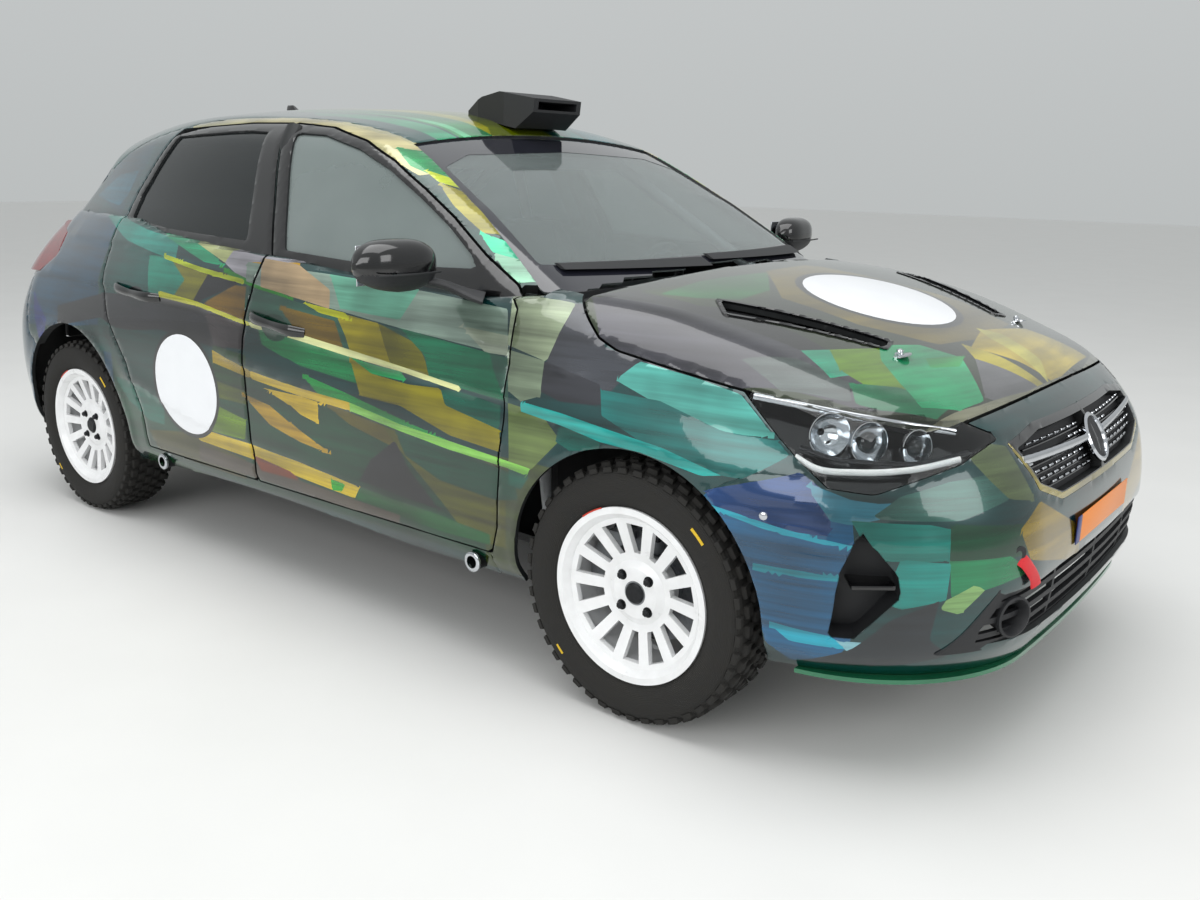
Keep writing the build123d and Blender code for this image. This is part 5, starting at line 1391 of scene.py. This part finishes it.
# Roof fin aerial
fin = bevelled((120, 26, 52), 6)
fin_points = fin[0].copy()
rise = (fin_points[:, 2] + 26) / 52
fin_points[:, 0] = fin_points[:, 0] * (1 - 0.72 * rise) - 34 * rise
fin_points[:, 1] *= 1 - 0.7 * rise
mesh_piece("roof_fin_aerial", fin_points + [-1080, 0, 1476], fin[1], [black_gloss], "body", "black_plastic")

# Posts between the doors and jack tubes in the sills, with bright mouths
POST_LINE = [(-212, 776, 300), (-212, 782, 780), (-160, 744, 1020), (-262, 648, 1340), (-270, 610, 1392)]
post = swept(POST_LINE, 20, 34, 12, up=(1, 0, 0))
pair("centre_post", [post], [shell_back], "body", "body_paint")
JACK_Z = 292
tubes = []
for x in (720, -760):
    tube = lathed([(18, 776), (24, 776), (24, 858), (18, 858)], 32)
    ring = lathed([(17, 855), (27, 855), (27, 861), (24, 863), (17, 863)], 32)
    tubes += [(p + [x, 0, JACK_Z], t) for p, t in (tube, ring)]
pair("jack_tubes", tubes, [dark_steel, chrome, dark_steel, chrome], "body", "chassis_steel")

# Studio
floor_finish = speckled("pale_studio_floor", "d9d9d7", 0.75, 0.0, (400, "d6d6d4", "dcdcda", 0.7, 0.8))
bpy.ops.mesh.primitive_plane_add(size=60, location=(0, 0, 0))
floor = bpy.context.object
floor.name = "studio_floor"
floor.data.materials.append(floor_finish)

world = bpy.data.worlds.new("studio")
bpy.context.scene.world = world
world.use_nodes = True
sky = world.node_tree
background = sky.nodes["Background"]
where = add_node(sky, "ShaderNodeTexCoord")
split = add_node(sky, "ShaderNodeSeparateXYZ", None, {"Vector": where.outputs["Generated"]})
height = add_node(sky, "ShaderNodeMapRange", {"From Min": -0.1, "From Max": 0.7},
                  {"Value": split.outputs["Z"]})
shade = add_node(sky, "ShaderNodeMix", {"data_type": "RGBA"}, {"Factor": height.outputs["Result"]})
shade.inputs["A"].default_value, shade.inputs["B"].default_value = linear("d2d6d6"), linear("f4f7f8")
sky.links.new(shade.outputs["Result"], background.inputs["Color"])
background.inputs["Strength"].default_value = 0.75


def soft_light(name, place, aim, size, power):
    """Large area lamp turned to a point."""
    lamp = bpy.data.lights.new(name, "AREA")
    lamp.shape = "RECTANGLE"
    lamp.size, lamp.size_y = size
    lamp.energy = power
    made = bpy.data.objects.new(name, lamp)
    made.location = place
    made.rotation_euler = (Vector(aim) - Vector(place)).to_track_quat("-Z", "Y").to_euler()
    bpy.context.scene.collection.objects.link(made)


soft_light("overhead_softbox", (0.5, -1.0, 6.0), (0.2, 0, 0.5), (7, 5), 260)
soft_light("side_softbox", (1.0, -7.0, 3.2), (0, 0, 0.7), (6, 3), 170)
soft_light("nose_softbox", (7.0, -1.0, 3.0), (1.5, 0, 0.7), (3, 3), 90)

# Camera fitted to the photograph: place in metres, heading, pitch and roll in degrees, focal length in pixels
CAMERA_AT = Vector((2.62769, -2.75620, 1.29647))
HEADING, PITCH, ROLL = (math.radians(a) for a in (128.1848, 14.6454, 1.0051))
FOCAL_PX, PHOTO_WIDTH = 1090.93, 1200
look = Vector((math.cos(HEADING) * math.cos(PITCH), math.sin(HEADING) * math.cos(PITCH), -math.sin(PITCH)))
level = Vector((math.sin(HEADING), -math.cos(HEADING), 0))
upward = level.cross(look)
right = level * math.cos(ROLL) + upward * math.sin(ROLL)
up = upward * math.cos(ROLL) - level * math.sin(ROLL)
lens = bpy.data.cameras.new("photo_camera")
lens.sensor_width = 36
lens.sensor_fit = "HORIZONTAL"
lens.lens = 36 * FOCAL_PX / PHOTO_WIDTH
camera = bpy.data.objects.new("photo_camera", lens)
camera.matrix_world = Matrix((
    (right.x, up.x, -look.x, CAMERA_AT.x), (right.y, up.y, -look.y, CAMERA_AT.y),
    (right.z, up.z, -look.z, CAMERA_AT.z), (0, 0, 0, 1)))
bpy.context.scene.collection.objects.link(camera)
bpy.context.scene.camera = camera
bpy.context.scene.view_settings.view_transform = "Standard"
